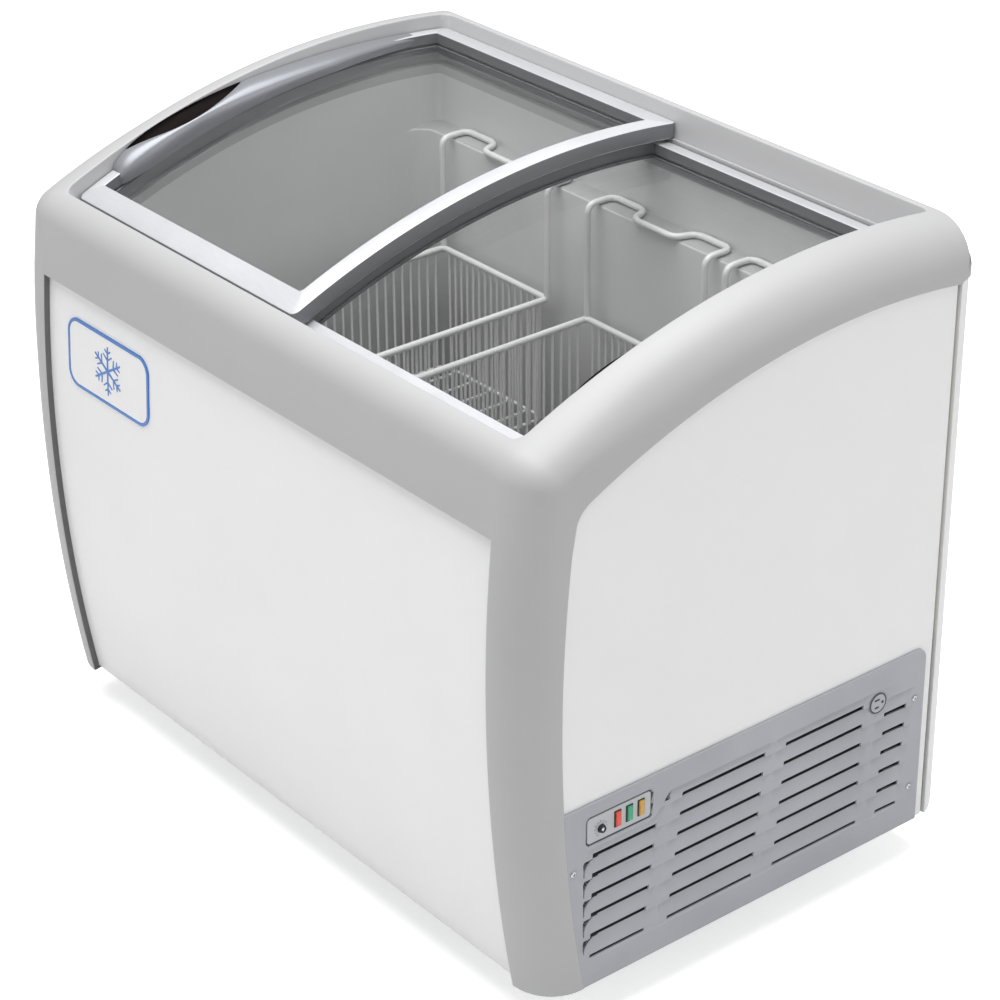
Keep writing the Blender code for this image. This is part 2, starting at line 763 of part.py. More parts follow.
def grille_screws(look):
    profile = [(-0.0060, 0.0015), (GAP, 0.0015), (GAP, 0.0038), (0.0014, 0.0034), (0.0022, 0.0016)]
    for name, y, z in SCREWS:
        turned(f"grille_screw_{name}", profile, (HALF_W, y, z), RIGHT, look, 12)


def controls(look, lenses):
    """The bezel with its three lamp lenses."""
    bezel = box("control_bezel", (0.5035, HALF_W + 0.0015), BEZEL_Y, BEZEL_Z, look)
    cut(bezel, rod("dial_room", (HALF_W, *DIAL), RIGHT, (-0.02, 0.02), 0.0035, segments=12))
    for name, y in LAMPS:
        x = (0.5020, HALF_W + 0.0035)
        box(name, x, around(y, LAMP_HALF_Y), around(LAMP_Z, LAMP_HALF_Z), lenses[name])
        room_y = around(y, LAMP_HALF_Y + GAP)
        cut(bezel, box(f"room_{name}", (0.48, 0.54), room_y, around(LAMP_Z, LAMP_HALF_Z + GAP)))
    return bezel


def service_socket(look):
    profile = [(-0.012, SOCKET_R), (0.0010, SOCKET_R), (0.0018, SOCKET_R - 0.0015)]
    socket = turned("service_socket", profile, (HALF_W, *SOCKET), RIGHT, look, 20)
    for offset in (-0.0050, 0.0050):
        y, z = around(SOCKET[0] + offset, 0.001), around(SOCKET[1], 0.004)
        cut(socket, box(f"socket_slot_{offset}", (HALF_W - 0.006, HALF_W + 0.01), y, z))
    return socket


def thermostat(look, dark):
    body = [(-0.0280, 0.0028), (0.0018, 0.0028), (0.0018, 0.0065), (0.0055, 0.0060)]
    dial = turned("thermostat_dial", body, (HALF_W, *DIAL), RIGHT, look, 16)
    x, z = (HALF_W + 0.0040, HALF_W + 0.01), (DIAL[1], DIAL[1] + 0.008)
    cut(dial, box("dial_notch", x, around(DIAL[0], 0.0008), z))
    box("thermostat_body", (0.452, 0.4815), around(DIAL[0], 0.017), (0.262, 0.292), dark)
    return pivot("thermostat_turn", (HALF_W, *DIAL), dial)


# Lids


def lid_span(side):
    """The lid's outer edges and its glass opening in x, smallest first. Side -1 is the left lid."""
    outer = sorted((side * LID_OUT, -side * LID_OVER))
    glass = sorted((side * (LID_OUT - LID_SIDE), -side * (LID_OVER - LID_RAIL)))
    return outer, glass


def lid(name, side, depth, ends, frame_look, glass_look):
    """A bent frame with the glass held in a groove round its inner edge."""
    outer, glass = lid_span(side)
    base = (depth, depth + FRAME_T)
    frame = arc_slab(f"{name}_frame", outer, ends, base, frame_look)
    sheet = (depth + GLASS_SINK, depth + GLASS_SINK + GLASS_T)
    reach = 0.006
    x = (glass[0] - reach, glass[1] + reach)
    y = (GLASS_Y[0] - reach, GLASS_Y[1] + reach)
    pane = arc_slab(f"{name}_glass", x, y, sheet, glass_look)
    window = arc_slab(f"{name}_window", glass, GLASS_Y, (depth - 0.01, depth + 0.04))
    groove = arc_slab(
        f"{name}_groove",
        (x[0] - GAP, x[1] + GAP),
        (y[0] - GAP, y[1] + GAP),
        (sheet[0] - GAP, sheet[1] + GAP),
    )
    return cut(frame, window, groove), pane


def grip_size(y):
    """Height, overhang and pocket width of the left lid's grip at y."""
    start, full, end = GRIP_Y
    rise = math.sqrt(max(1 - (max(full - y, 0.0) / (full - start)) ** 2, 0.0))
    fade = math.exp(-((max(y - full, 0.0) / GRIP_FADE) ** 2))
    left = (end - y) / (end - full)
    swell = min(rise, left * 3, 1.0)
    along = (y - POCKET_Y[0]) / (POCKET_Y[1] - POCKET_Y[0])
    pocket = POCKET_WIDE * math.sin(math.pi * min(max(along, 0.02), 0.98))
    return 0.0020 + GRIP_HIGH * rise * fade, GRIP_OVERHANG * swell, pocket


def left_handle(look):
    """A raised grip that wraps over the left lid's outer member, with a finger pocket beside the rim."""
    inner_face = -LID_OUT + LID_SIDE + GAP
    low = GAP - GLASS_SINK
    rings = []
    for y in spread(GRIP_Y[0] + 0.001, GRIP_Y[2], 17):
        high, over, _ = grip_size(y)
        edge = inner_face + max(over, 0.001)
        shape = [(GRIP_WALL, GAP), (GRIP_WALL, high), (edge - 0.006, high * 0.75), (edge, high * 0.3)]
        shape += [(edge, low * 0.4), (edge - 0.0005, low), (inner_face, low), (inner_face, GAP)]
        rings.append([(x, y, arc_z(y, UPPER_D) + up) for x, up in shape])
    handle = loft("left_lid_handle", rings, look)
    scoop = []
    for y in spread(*POCKET_Y, 9):
        high, _, pocket = grip_size(y)
        floor = arc_z(y, UPPER_D) + high * 0.45
        x0, x1 = GRIP_WALL + 0.0015, GRIP_WALL + 0.0030 + pocket
        scoop.append([(x0, y, floor), (x1, y, floor), (x1, y, floor + 0.03), (x0, y, floor + 0.03)])
    return cut(handle, loft("left_scoop", scoop))


def right_handle(look):
    """A low pull on the outer member of the right lid, thin enough for the upper lid to pass over it."""
    rings = []
    for y in spread(*PULL_Y, 11):
        t = (y - PULL_Y[0]) / (PULL_Y[1] - PULL_Y[0])
        inner = PULL_WALL - 0.010 - 0.0365 * math.sin(math.pi * min(max(t, 0.01), 0.99)) ** 0.35
        low = arc_z(y, LOWER_D) + GAP
        section = [(PULL_WALL, 0), (PULL_WALL, 0.0020), (inner + 0.002, 0.0028), (inner, 0.0016), (inner, 0)]
        rings.append([(x, y, low + up) for x, up in section])
    return loft("right_lid_handle", rings, look)


# Baskets
BASKET_W = 0.230
BASKET_X = (-0.2575, 0.0440, 0.3020)
BASKET_Y = (-0.2030, 0.2535)
BASKET_Z = (0.378, 0.565)
WIRE_R = 0.0035

# Controls on the ventilated side, as (y, z)
DIAL = (-0.2192, 0.2740)
BEZEL_Y = (-0.2390, -0.1440)
BEZEL_Z = (0.2575, 0.2925)
LAMPS = (("indicator_red", -0.1940), ("indicator_green", -0.1765), ("indicator_amber", -0.1590))
LAMP_Z = 0.2760
LAMP_HALF_Y = 0.0050
LAMP_HALF_Z = 0.0105
SOCKET = (0.2229, 0.2616)
SOCKET_R = 0.0135
SCREWS = (("front", -0.2590, 0.2274), ("upper", 0.2869, 0.2433), ("lower", 0.2866, 0.1147))
FAN = (-0.090, 0.170)

# Badge on the front panel
BADGE_X = (-0.405, -0.220)
BADGE_Z = (0.523, 0.617)
BADGE_T = 0.002
BADGE_CORNER = 0.018

# Raised grip on the left lid: front end, highest place and rear end, then its finger pocket, along Y
GRIP_WALL = -0.4470
GRIP_Y = (-0.217, -0.155, 0.255)
GRIP_HIGH = 0.0175
GRIP_FADE = 0.190
POCKET_Y = (-0.198, -0.015)
POCKET_WIDE = 0.029
GRIP_OVERHANG = 0.0125  # how far the grip bulges over the glass

# Low pull on the right lid, along Y
PULL_WALL = 0.4440
PULL_Y = (-0.215, -0.035)

# Drain through the liner floor, as (x, y)
DRAIN = (-0.300, -0.120)

# Casters
CASTER_X = 0.360
CASTER_Y = (-0.170, 0.215)
WHEEL_R = 0.020
WHEEL_HALF = 0.009
TRAIL = 0.016


def new_collection(name):
    found = bpy.data.collections.new(name)
    bpy.context.scene.collection.children.link(found)
    return found


def material(name, colour, roughness, metallic=0.0, transmission=0.0):
    mat = bpy.data.materials.new(name)
    mat.use_nodes = True
    shader = mat.node_tree.nodes["Principled BSDF"]
    shader.inputs["Base Color"].default_value = (*colour, 1.0)
    shader.inputs["Roughness"].default_value = roughness
    shader.inputs["Metallic"].default_value = metallic
    shader.inputs["Transmission Weight"].default_value = transmission
    return mat


# Shapes. A look makes a visible part; without one the shape is a hidden cutter.


def place(obj, look):
    """Puts a new object in the collection of parts, or hides it among the cutters."""
    if look is None:
        cutters.objects.link(obj)
        obj.hide_render = True
        obj.display_type = "WIRE"
    else:
        parts.objects.link(obj)
        obj.data.materials.append(look)
    return obj


def mesh_object(name, bm, look, matrix=None):
    mesh = bpy.data.meshes.new(name)
    bm.to_mesh(mesh)
    bm.free()
    obj = bpy.data.objects.new(name, mesh)
    if matrix is not None:
        obj.matrix_world = matrix
    return place(obj, look)


def smooth(obj):
    obj.data.shade_smooth()
    obj.data.set_sharp_from_angle(angle=math.radians(35))
    return obj


def box(name, x, y, z, look=None):
    """A box between two limits on each axis, with its origin in its middle."""
    low = Vector([min(pair) for pair in (x, y, z)])
    high = Vector([max(pair) for pair in (x, y, z)])
    bm = bmesh.new()
    bmesh.ops.create_cube(bm, size=1.0, matrix=Matrix.Diagonal((*(high - low), 1.0)))
    return mesh_object(name, bm, look, Matrix.Translation((low + high) / 2))


def towards(centre, axis):
    """A frame at centre whose Z lies along axis."""
    return Matrix.Translation(centre) @ Vector(axis).to_track_quat("Z", "Y").to_matrix().to_4x4()


def rod(name, centre, axis, along, radius, look=None, segments=16):
    """A cylinder from along[0] to along[1] on an axis through centre."""
    bm = bmesh.new()
    middle = Matrix.Translation((0, 0, sum(along) / 2))
    bmesh.ops.create_cone(
        bm,
        cap_ends=True,
        segments=segments,
        radius1=radius,
        radius2=radius,
        depth=along[1] - along[0],
        matrix=middle,
    )
    return smooth(mesh_object(name, bm, look, towards(centre, axis)))


def turned(name, profile, centre, axis, look=None, segments=24, bored=False):
    """A profile of (height, radius) steps, lowest first, turned round an axis through centre."""
    steps = list(reversed(profile))
    if not bored:
        steps = [(steps[0][0], 0.0)] + steps + [(steps[-1][0], 0.0)]
    bm = bmesh.new()
    corners = [bm.verts.new((radius, 0.0, height)) for height, radius in steps]
    for a, b in zip(corners, corners[1:]):
        bm.edges.new((a, b))
    if bored:
        bm.edges.new((corners[-1], corners[0]))
    obj = mesh_object(name, bm, look, towards(centre, axis))
    screw = obj.modifiers.new("turn", "SCREW")
    screw.steps = segments
    screw.render_steps = segments
    screw.use_merge_vertices = True
    screw.merge_threshold = 0.00001
    return obj


def as_mesh(obj, look):
    """The same shape as a welded mesh, in place of a curve, so that it can be cut or joined."""
    bpy.context.view_layer.update()
    graph = bpy.context.evaluated_depsgraph_get()
    mesh = bpy.data.meshes.new_from_object(obj.evaluated_get(graph))
    bm = bmesh.new()
    bm.from_mesh(mesh)
    bmesh.ops.remove_doubles(bm, verts=bm.verts, dist=0.00001)
    bm.to_mesh(mesh)
    bm.free()
    name, matrix = obj.name, obj.matrix_world.copy()
    bpy.data.objects.remove(obj)
    made = bpy.data.objects.new(name, mesh)
    made.matrix_world = matrix
    mesh.materials.clear()
    return place(made, look)


def curve_object(name, lines, matrix, closed):
    """A curve of straight runs: flat and closed for an outline, or free and open for a wire."""
    data = bpy.data.curves.new(name, "CURVE")
    data.dimensions = "2D" if closed else "3D"
    for points in lines:
        spline = data.splines.new("POLY")
        spline.points.add(len(points) - 1)
        for corner, point in zip(spline.points, points):
            corner.co = (*point, 0.0, 1.0) if closed else (*point, 1.0)
        spline.use_cyclic_u = closed
    obj = bpy.data.objects.new(name, data)
    obj.matrix_world = matrix
    parts.objects.link(obj)
    return obj


YZ_PLANE = Matrix(((0, 0, 1, 0), (1, 0, 0, 0), (0, 1, 0, 0), (0, 0, 0, 1)))
XZ_PLANE = Matrix(((1, 0, 0, 0), (0, 0, -1, 0), (0, 1, 0, 0), (0, 0, 0, 1)))


def thickened(name, outlines, plane, middle, thickness, look):
    obj = curve_object(name, outlines, Matrix.Translation(middle) @ plane, True)
    obj.data.fill_mode = "BOTH"
    obj.data.extrude = thickness / 2
    return as_mesh(obj, look)


def plate(name, outline, x, look=None):
    """A flat (y, z) outline, thickened between two places on X."""
    return thickened(name, [outline], YZ_PLANE, ((x[0] + x[1]) / 2, 0, 0), abs(x[1] - x[0]), look)


def wire(name, path, radius, look=None, resolution=1):
    """A round wire or pipe along a path."""
    obj = curve_object(name, [[tuple(point) for point in path]], Matrix(), False)
    obj.data.bevel_depth = radius
    obj.data.bevel_resolution = resolution
    obj.data.use_fill_caps = True
    return smooth(as_mesh(obj, look))


def loft(name, rings, look=None):
    """A skin over unlike sections of equal length, capped at both ends."""
    bm = bmesh.new()
    grid = [[bm.verts.new(point) for point in ring] for ring in rings]
    n = len(rings[0])
    for a, b in zip(grid, grid[1:]):
        for i in range(n):
            bm.faces.new((a[i], a[(i + 1) % n], b[(i + 1) % n], b[i]))
    bm.faces.new(reversed(grid[0]))
    bm.faces.new(grid[-1])
    bmesh.ops.recalc_face_normals(bm, faces=bm.faces)
    return mesh_object(name, bm, look)


def rounded_path(corners, radius, steps=3):
    """The corners of a path, each replaced with a short curve."""
    corners = [Vector(c) for c in corners]
    path = [corners[0]]
    for a, b, c in zip(corners, corners[1:], corners[2:]):
        before, after = (a - b).normalized(), (c - b).normalized()
        reach = min(radius, (a - b).length * 0.49, (c - b).length * 0.49)
        start, end = b + before * reach, b + after * reach
        for i in range(steps + 1):
            t = i / steps
            path.append(start * (1 - t) ** 2 + b * 2 * t * (1 - t) + end * t**2)
    return path + [corners[-1]]


def combine(obj, other, operation):
    modifier = obj.modifiers.new(f"{operation.lower()} {other.name}", "BOOLEAN")
    modifier.operation = operation
    modifier.solver = "EXACT"
    modifier.object = other
    return obj


def cut(obj, *others):
    for other in others:
        combine(obj, other, "DIFFERENCE")
    return obj


def join(obj, *others):
    for other in others:
        combine(obj, other, "UNION")
    return obj


def bevel_edges(obj, width, segments, chosen):
    """Rounds the edges whose two end points the test accepts."""
    weights = obj.data.attributes.new("bevel_weight_edge", "FLOAT", "EDGE")
    for edge in obj.data.edges:
        ends = [obj.matrix_world @ obj.data.vertices[i].co for i in edge.vertices]
        weights.data[edge.index].value = 1.0 if chosen(*ends) else 0.0
    modifier = obj.modifiers.new("rounded edges", "BEVEL")
    modifier.limit_method = "WEIGHT"
    modifier.width = width
    modifier.segments = segments
    return obj


def upright(a, b):
    return abs(a.x - b.x) < EXACT and abs(a.y - b.y) < EXACT


def pivot(name, place_at, *pieces):
    """An empty on a joint's axis that carries the pieces moving on it."""
    bpy.context.view_layer.update()
    empty = bpy.data.objects.new(name, None)
    empty.empty_display_size = 0.03
    parts.objects.link(empty)
    empty.location = place_at
    bpy.context.view_layer.update()
    for piece in pieces:
        piece.parent = empty
        piece.matrix_parent_inverse = empty.matrix_world.inverted()
    return empty


# Curves of the body


def front_y(z):
    radius = CROWN_R if z > BOW_Z else BOW_R
    return FRONT + radius - math.sqrt(radius**2 - (BOW_Z - z) ** 2)


def front_round():
    """Centre (y, z) of the round between the bowed front and the top arc, and its first and last turn."""
    crown, arc = Vector((FRONT + CROWN_R, BOW_Z)), Vector((ARC_Y, ARC_TOP - ARC_R))
    crown_reach, arc_reach = CROWN_R - FRONT_ROUND, ARC_R - FRONT_ROUND
    apart = (arc - crown).length
    along = (crown_reach**2 - arc_reach**2 + apart**2) / (2 * apart)
    way = (arc - crown).normalized()
    centre = crown + way * along + Vector((way.y, -way.x)) * math.sqrt(crown_reach**2 - along**2)
    start = math.acos((centre.y - BOW_Z) / crown_reach)
    return centre, start, math.asin((ARC_Y - centre.x) / arc_reach)


def arc_z(y, depth=0.0):
    """Height of the top arc at y, or of the arc that lies depth inside it."""
    return ARC_TOP - ARC_R + math.sqrt((ARC_R - depth) ** 2 - (y - ARC_Y) ** 2)


def band_z(y):
    return BAND_TOP - BAND_R + math.sqrt(BAND_R**2 - (y - BAND_Y) ** 2)


def post_edge_y(z):
    return POST_EDGE_Y + POST_EDGE_R - math.sqrt(POST_EDGE_R**2 - (z - POST_EDGE_Z) ** 2)


def spread(a, b, count):
    return [float(t) for t in np.linspace(a, b, count)]


def around(centre, half):
    return (centre - half, centre + half)


def band_line(start, end, drop=0.0, count=12):
    """The rim's lower edge from y = start to y = end."""
    return [(y, max(band_z(y), BAND_FRONT_Z) - drop) for y in spread(start, end, count)]


def side_outline(inset=0.0, top=None):
    """The side panel's outline, or only the part of it under top, starting at its lower front corner."""
    low = BODY_Z + GAP
    high = 0.664 if top is None else top
    line = [(post_edge_y(z) + inset, z) for z in spread(low, high, 8)]
    if top is not None:
        return line
    corner = (-0.2570, 0.686)
    bend = rounded_path([(0, *line[-1]), (0, *corner), (0, -0.232, band_z(-0.232))], 0.03, 3)
    line += [(p.y + inset, p.z - inset) for p in bend[1:-1]]
    line += [(y, z - inset) for y, z in band_line(-0.225, GROOVE_Y, count=12)]
    return line + [(GROOVE_Y, low)]


def envelope_stations():
    """(y, z, inward y, inward z, reach in x) round the body from the front foot to the back foot."""
    heights = spread(BODY_Z, BOW_Z, 6) + spread(BOW_Z, BAND_FRONT_Z, 4)[1:]
    found = [(front_y(z), z, POST_ROUND, 0.0, POST_ROUND) for z in heights]
    centre, start, end = front_round()
    for t in spread(0.0, 1.0, 6):
        turn = start * (1 - t) + end * t
        deep = POST_ROUND + (RIM_ROUND - POST_ROUND) * t
        y = centre.x - FRONT_ROUND * math.sin(turn)
        z = centre.y + FRONT_ROUND * math.cos(turn)
        found.append((y, z, deep * math.sin(turn), -deep * math.cos(turn), deep))
    for y in spread(found[-1][0], 0.262, 13)[1:]:
        turn = math.asin((ARC_Y - y) / ARC_R)
        inward = (RIM_ROUND * math.sin(turn), -RIM_ROUND * math.cos(turn))
        found.append((y, arc_z(y), *inward, RIM_ROUND))
    found.append((BACK, arc_z(BACK), -REAR_ROUND, -0.054, RIM_ROUND))
    found.append((BACK, arc_z(BACK) - 0.062, -REAR_ROUND, 0.0, REAR_ROUND))
    found.append((BACK, BODY_Z, -REAR_ROUND, 0.0, REAR_ROUND))
    return found


def envelope(name, look=None):
    """The outside of the rim and the posts as one solid, for cutting pieces out of."""
    rings = []
    for side in (-1, 1):
        turns = spread(math.pi / 2, 0.0, 5)
        for u in turns if side < 0 else reversed(turns):
            ring = []
            for y, z, in_y, in_z, reach in envelope_stations():
                x = side * (HALF_W - reach * (1 - math.sin(u)))
                sink = 1 - math.cos(u)
                ring.append((x, y + in_y * sink, z + in_z * sink))
            rings.append(ring)
    return loft(name, rings, look)


def arc_slab(name, x, y, depth, look=None, top=None, count=14):
    """A plate that follows the top arc between two depths, or from the deeper one up to a flat top."""
    ys = spread(y[0], y[1], count)
    low = [(v, arc_z(v, depth[1])) for v in ys]
    if top is None:
        high = [(v, arc_z(v, depth[0])) for v in reversed(ys)]
    else:
        high = [(y[1], top), (y[0], top)]
    return plate(name, low + high, x, look)


# Rim, posts and panels


def top_frame(look):
    frame = envelope("top_frame", look)
    under = [(-0.40, 0.0), (-0.40, BAND_FRONT_Z)] + band_line(-0.3148, 0.345, count=20) + [(0.345, 0.0)]
    cut(frame, plate("below_rim", under, (-0.6, 0.6)))
    upper = arc_slab("upper_recess", (-OPEN_X, OPEN_X), OPEN_Y, (0, UPPER_D + FRAME_T + GAP), top=0.95)
    bevel_edges(upper, 0.004, 3, upright)
    lower_ends = (LOWER_Y[0] - 0.0025, LOWER_Y[1] + 0.0025)
    lower_depth = LOWER_D + FRAME_T + GAP
    lower = arc_slab("lower_recess", (-OPEN_X, OPEN_X), lower_ends, (0, lower_depth), top=0.94)
    mouth = box("mouth", (-MOUTH_X, MOUTH_X), MOUTH_Y, (0.5, 0.93))
    return cut(frame, upper, lower, mouth)


def corner_post(name, side, look):
    """Front corner post: the part of the envelope between the front panel and a side panel."""
    post = envelope(name, look)
    edge = side_outline()[:10]
    joint = band_line(-0.3148, -0.2525, GAP, 5)
    zone = [(-0.40, 0.0), (-0.40, BAND_FRONT_Z - GAP)] + joint + list(reversed(edge)) + [(edge[0][0], 0.0)]
    keep = plate(f"zone_{name}", zone, (side * POST_X, side * 0.6))
    return combine(post, keep, "INTERSECT")


def rear_post(name, side, look):
    x = (side * REAR_POST_X, side * SIDE_X)
    post = box(name, x, (REAR_POST_Y, BACK - 2 * GAP), (BODY_Z, REAR_POST_TOP), look)

    def outer(a, b):
        return upright(a, b) and abs(a.x) > SIDE_X - GAP and a.y > REAR_POST_Y + GAP

    return bevel_edges(post, 0.012, 3, outer)


def front_panel(look):
    outer = [(front_y(z) + PANEL_SINK, z) for z in spread(BODY_Z + GAP, BAND_FRONT_Z - GAP, 14)]
    inner = [(y + SHEET, z) for y, z in reversed(outer)]
    x = POST_X - GAP
    return plate("front_panel", outer + inner, (-x, x), look)


def badge(look):
    """A thin plate that follows the bowed panel, with rounded corners."""
    rear = [(front_y(z) + PANEL_SINK - GAP, z) for z in spread(*BADGE_Z, 5)]
    face = [(y - BADGE_T, z) for y, z in reversed(rear)]
    plain = plate("badge", rear + face, BADGE_X, look)

    def corner(a, b):
        at_side = abs(a.x - b.x) < EXACT and abs(a.z - b.z) < EXACT
        return at_side and (abs(a.z - BADGE_Z[0]) < EXACT or abs(a.z - BADGE_Z[1]) < EXACT)

    return bevel_edges(plain, BADGE_CORNER, 4, corner)


def side_panel(name, side, look, opening=None):
    x = (side * (SIDE_X - SHEET), side * SIDE_X)
    panel = plate(name, side_outline(3 * GAP), x, look)
    return cut(panel, opening) if opening else panel


def back_panel(look):
    high = band_z(BACK) - 2 * GAP
    panel = box("back_panel", (-0.480, 0.480), (BACK - SHEET, BACK), (BODY_Z + GAP, high), look)
    left, right, height = 0.26, 0.44, 0.007
    slots = [
        [(left, z), (right, z), (right, z + height), (left, z + height)]
        for z in spread(0.10, 0.27, 6)
    ]
    return cut(panel, thickened("back_slots", slots, XZ_PLANE, (0, BACK, 0), 0.04, None))


# Body inside


def base_pan(look):
    z = (BODY_Z, BODY_Z + PAN_T)
    pan = box("base_pan", (-0.5052, 0.5052), (-0.2380, 0.3142), z, look)
    toe = box("pan_toe", (-0.4504, 0.4504), (-0.2880, -0.2300), z)
    heel = box("pan_heel", (-0.4800, 0.4800), (0.3000, 0.3342), z)
    drain = rod("pan_drain", (*DRAIN, BODY_Z), UP, (-0.01, 0.02), 0.011)
    return cut(join(pan, toe, heel), drain)


def machine_bulkhead(look):
    low = BODY_Z + PAN_T + GAP
    shell = box("machine_bulkhead", (BAY_X, 0.5030), (BAY_Y, 0.3340), (low, BAY_Z), look)
    hollow = box("bay_hollow", (BAY_X + SHEET, 0.52), (BAY_Y + SHEET, 0.35), (0.0, BAY_Z - SHEET))
    post = box("post_space", (0.4800, 0.53), (0.3142, 0.36), (-0.1, 0.5))
    return cut(shell, hollow, post)


def foam_insulation(look):
    low = BODY_Z + PAN_T + GAP
    front = [(front_y(z) + PANEL_SINK + SHEET + GAP, z) for z in spread(low, 0.640, 10)]
    top = band_line(-0.3148, 0.3342, 3 * GAP, 14)
    foam = plate("foam_insulation", front + top + [(0.3342, low)], (-0.4500, 0.4500), look)
    wing_top = band_line(-0.2300, 0.3120, 4 * GAP, 10)
    wings = plate("foam_wings", [(-0.2300, low)] + wing_top + [(0.3120, low)], (-0.5050, 0.5050))
    deep = box("pocket_deep", (-0.452, STEP_X + 0.014), (-0.232, 0.2815), (FLOOR_Z - 0.013, 0.700))
    shallow = box("pocket_shallow", (-0.40, 0.452), (-0.2319, 0.2814), (STEP_Z - 0.013, 0.700))
    collar = box("pocket_collar", (-0.4521, 0.4521), (-0.2645, 0.3145), (0.641, 0.90))
    bay = box("bay_space", (BAY_X - GAP, 0.52), (BAY_Y - GAP, 0.36), (0.0, BAY_Z + GAP))
    drain = rod("foam_drain", (*DRAIN, BODY_Z), UP, (-0.02, 0.10), 0.011)
    return cut(join(foam, wings), deep, shallow, collar, bay, drain)


def liner_profile(grow, top=0.90):
    """The liner's inner outline in (y, z), or one that lies grow outside it."""
    front, back = WALL_Y[0] - grow, WALL_Y[1] + grow
    mouth = (MOUTH_Y[0] - 0.002 - grow, MOUTH_Y[1] + 0.002 + grow)
    ledge = (LEDGE_Z[0] - grow, LEDGE_Z[1] - grow)
    floor = FLOOR_Z - grow
    lower = [(front, floor), (back, floor), (back, ledge[1]), (mouth[1], ledge[1])]
    return lower + [(mouth[1], top), (mouth[0], top), (mouth[0], ledge[0]), (front, ledge[0])]


def inner_liner(look):
    x = LINER_X + LINER_T
    liner = plate("inner_liner", liner_profile(LINER_T), (-x, x), look)
    outside = box("step_outside", (STEP_X + LINER_T, 0.6), (-0.5, 0.5), (0.0, STEP_Z - LINER_T))
    inside = plate("cavity", liner_profile(0.0, 0.95), (-LINER_X, LINER_X))
    cut(inside, box("step_inside", (STEP_X, 0.7), (-0.6, 0.6), (-0.1, STEP_Z)))
    above = [(-0.345, 1.0), (0.350, 1.0)] + list(reversed(band_line(-0.345, 0.350, GAP, 24)))
    drain = rod("liner_drain", (*DRAIN, FLOOR_Z), UP, (-0.02, 0.02), 0.008)
    return cut(liner, outside, inside, plate("above_liner", above, (-0.7, 0.7)), drain)


def drain_plug(look):
    low = -0.030
    profile = [(low, 0.0055), (0.0, 0.0074), (GAP, 0.0074), (GAP, 0.0120), (0.004, 0.0120)]
    profile += [(0.004, 0.0040), (0.016, 0.0040)]
    plug = turned("drain_plug", profile, (*DRAIN, FLOOR_Z), UP, look, 16)
    return pivot("drain_plug_lift", (*DRAIN, FLOOR_Z), plug)


def evaporator_coil(look):
    x, front, back = 0.4460, WALL_Y[0] - 0.0078, WALL_Y[1] + 0.0078
    corners = []
    turns = 5
    pitch = 0.045
    for k in range(turns * 4 + 1):
        z = 0.400 + pitch * k / 4
        cx, cy = ((-x, front), (x, front), (x, back), (-x, back))[k % 4]
        corners.append((cx, cy, z))
    return wire("evaporator_coil", rounded_path(corners, 0.008, 2), 0.004, look)


# Machine bay


def compressor(look):
    centre = (0.300, 0.190, 0.0)
    can = [(0.086, 0.050), (0.092, 0.068), (0.104, 0.075), (0.190, 0.075), (0.222, 0.062), (0.238, 0.030)]
    body = turned("compressor", can, centre, UP, look, 24)
    sole = box("compressor_sole", (0.225, 0.375), (0.100, 0.280), (0.080, 0.090))
    feet = [
        rod(f"compressor_foot_{x}_{y}", (x, y, 0.0), UP, (0.0645, 0.0850), 0.010, segments=12)
        for x in (0.240, 0.360)
        for y in (0.115, 0.265)
    ]
    return join(body, sole, *feet)


def condenser_coil(look):
    ends = (-0.190, 0.010)
    corners = []
    for i, z in enumerate(spread(0.092, 0.236, 7)):
        corners += [(0.474, ends[i % 2], z), (0.474, ends[(i + 1) % 2], z)]
    coil = wire("condenser_coil", rounded_path(corners, 0.010, 2), 0.004, look)
    plates = [
        box(f"condenser_plate_{i}", (0.460, 0.488), (y, y + 0.002), (0.0645, 0.250))
        for i, y in enumerate((-0.172, -0.010))
    ]
    return join(coil, *plates)


def fan_shroud(look):
    shroud = box("fan_shroud", (0.430, 0.434), (-0.190, 0.010), (0.0645, 0.275), look)
    hole = rod("fan_hole", (0.432, *FAN), RIGHT, (-0.02, 0.02), 0.088, segments=24)
    return cut(shroud, hole)


def fan_motor(look):
    profile = [(0.0, 0.020), (0.010, 0.030), (0.045, 0.030), (0.052, 0.012)]
    motor = turned("fan_motor", profile, (0.345, *FAN), RIGHT, look, 20)
    foot = box("fan_foot", (0.360, 0.380), (FAN[0] - 0.012, FAN[0] + 0.012), (0.0645, 0.150))
    sole = box("fan_sole", (0.345, 0.395), (FAN[0] - 0.025, FAN[0] + 0.025), (0.0645, 0.0680))
    shaft = rod("fan_shaft", (0.345, *FAN), RIGHT, (0.050, 0.070), 0.003)
    return join(motor, foot, sole, shaft)


def fan_blade(look):
    centre = Vector((0.398, *FAN))
    hub = turned("fan_blade", [(0.0, 0.018), (0.022, 0.018), (0.026, 0.010)], centre, RIGHT, look, 20)
    bore = rod("fan_bore", centre, RIGHT, (-0.01, 0.019), 0.0034)
    cut(hub, bore)
    for i in range(5):
        blade = box(f"blade_{i}", (-0.011, 0.011), (-0.0012, 0.0012), (-0.034, 0.034))
        pitch = Matrix.Rotation(math.radians(50), 4, "Z")
        turn = Matrix.Rotation(math.radians(72 * i), 4, "X")
        out = Matrix.Translation((0, 0, 0.044))
        blade.matrix_world = Matrix.Translation(centre + Vector((0.013, 0, 0))) @ turn @ out @ pitch
        join(hub, blade)
    return pivot("fan_spin", centre, hub)


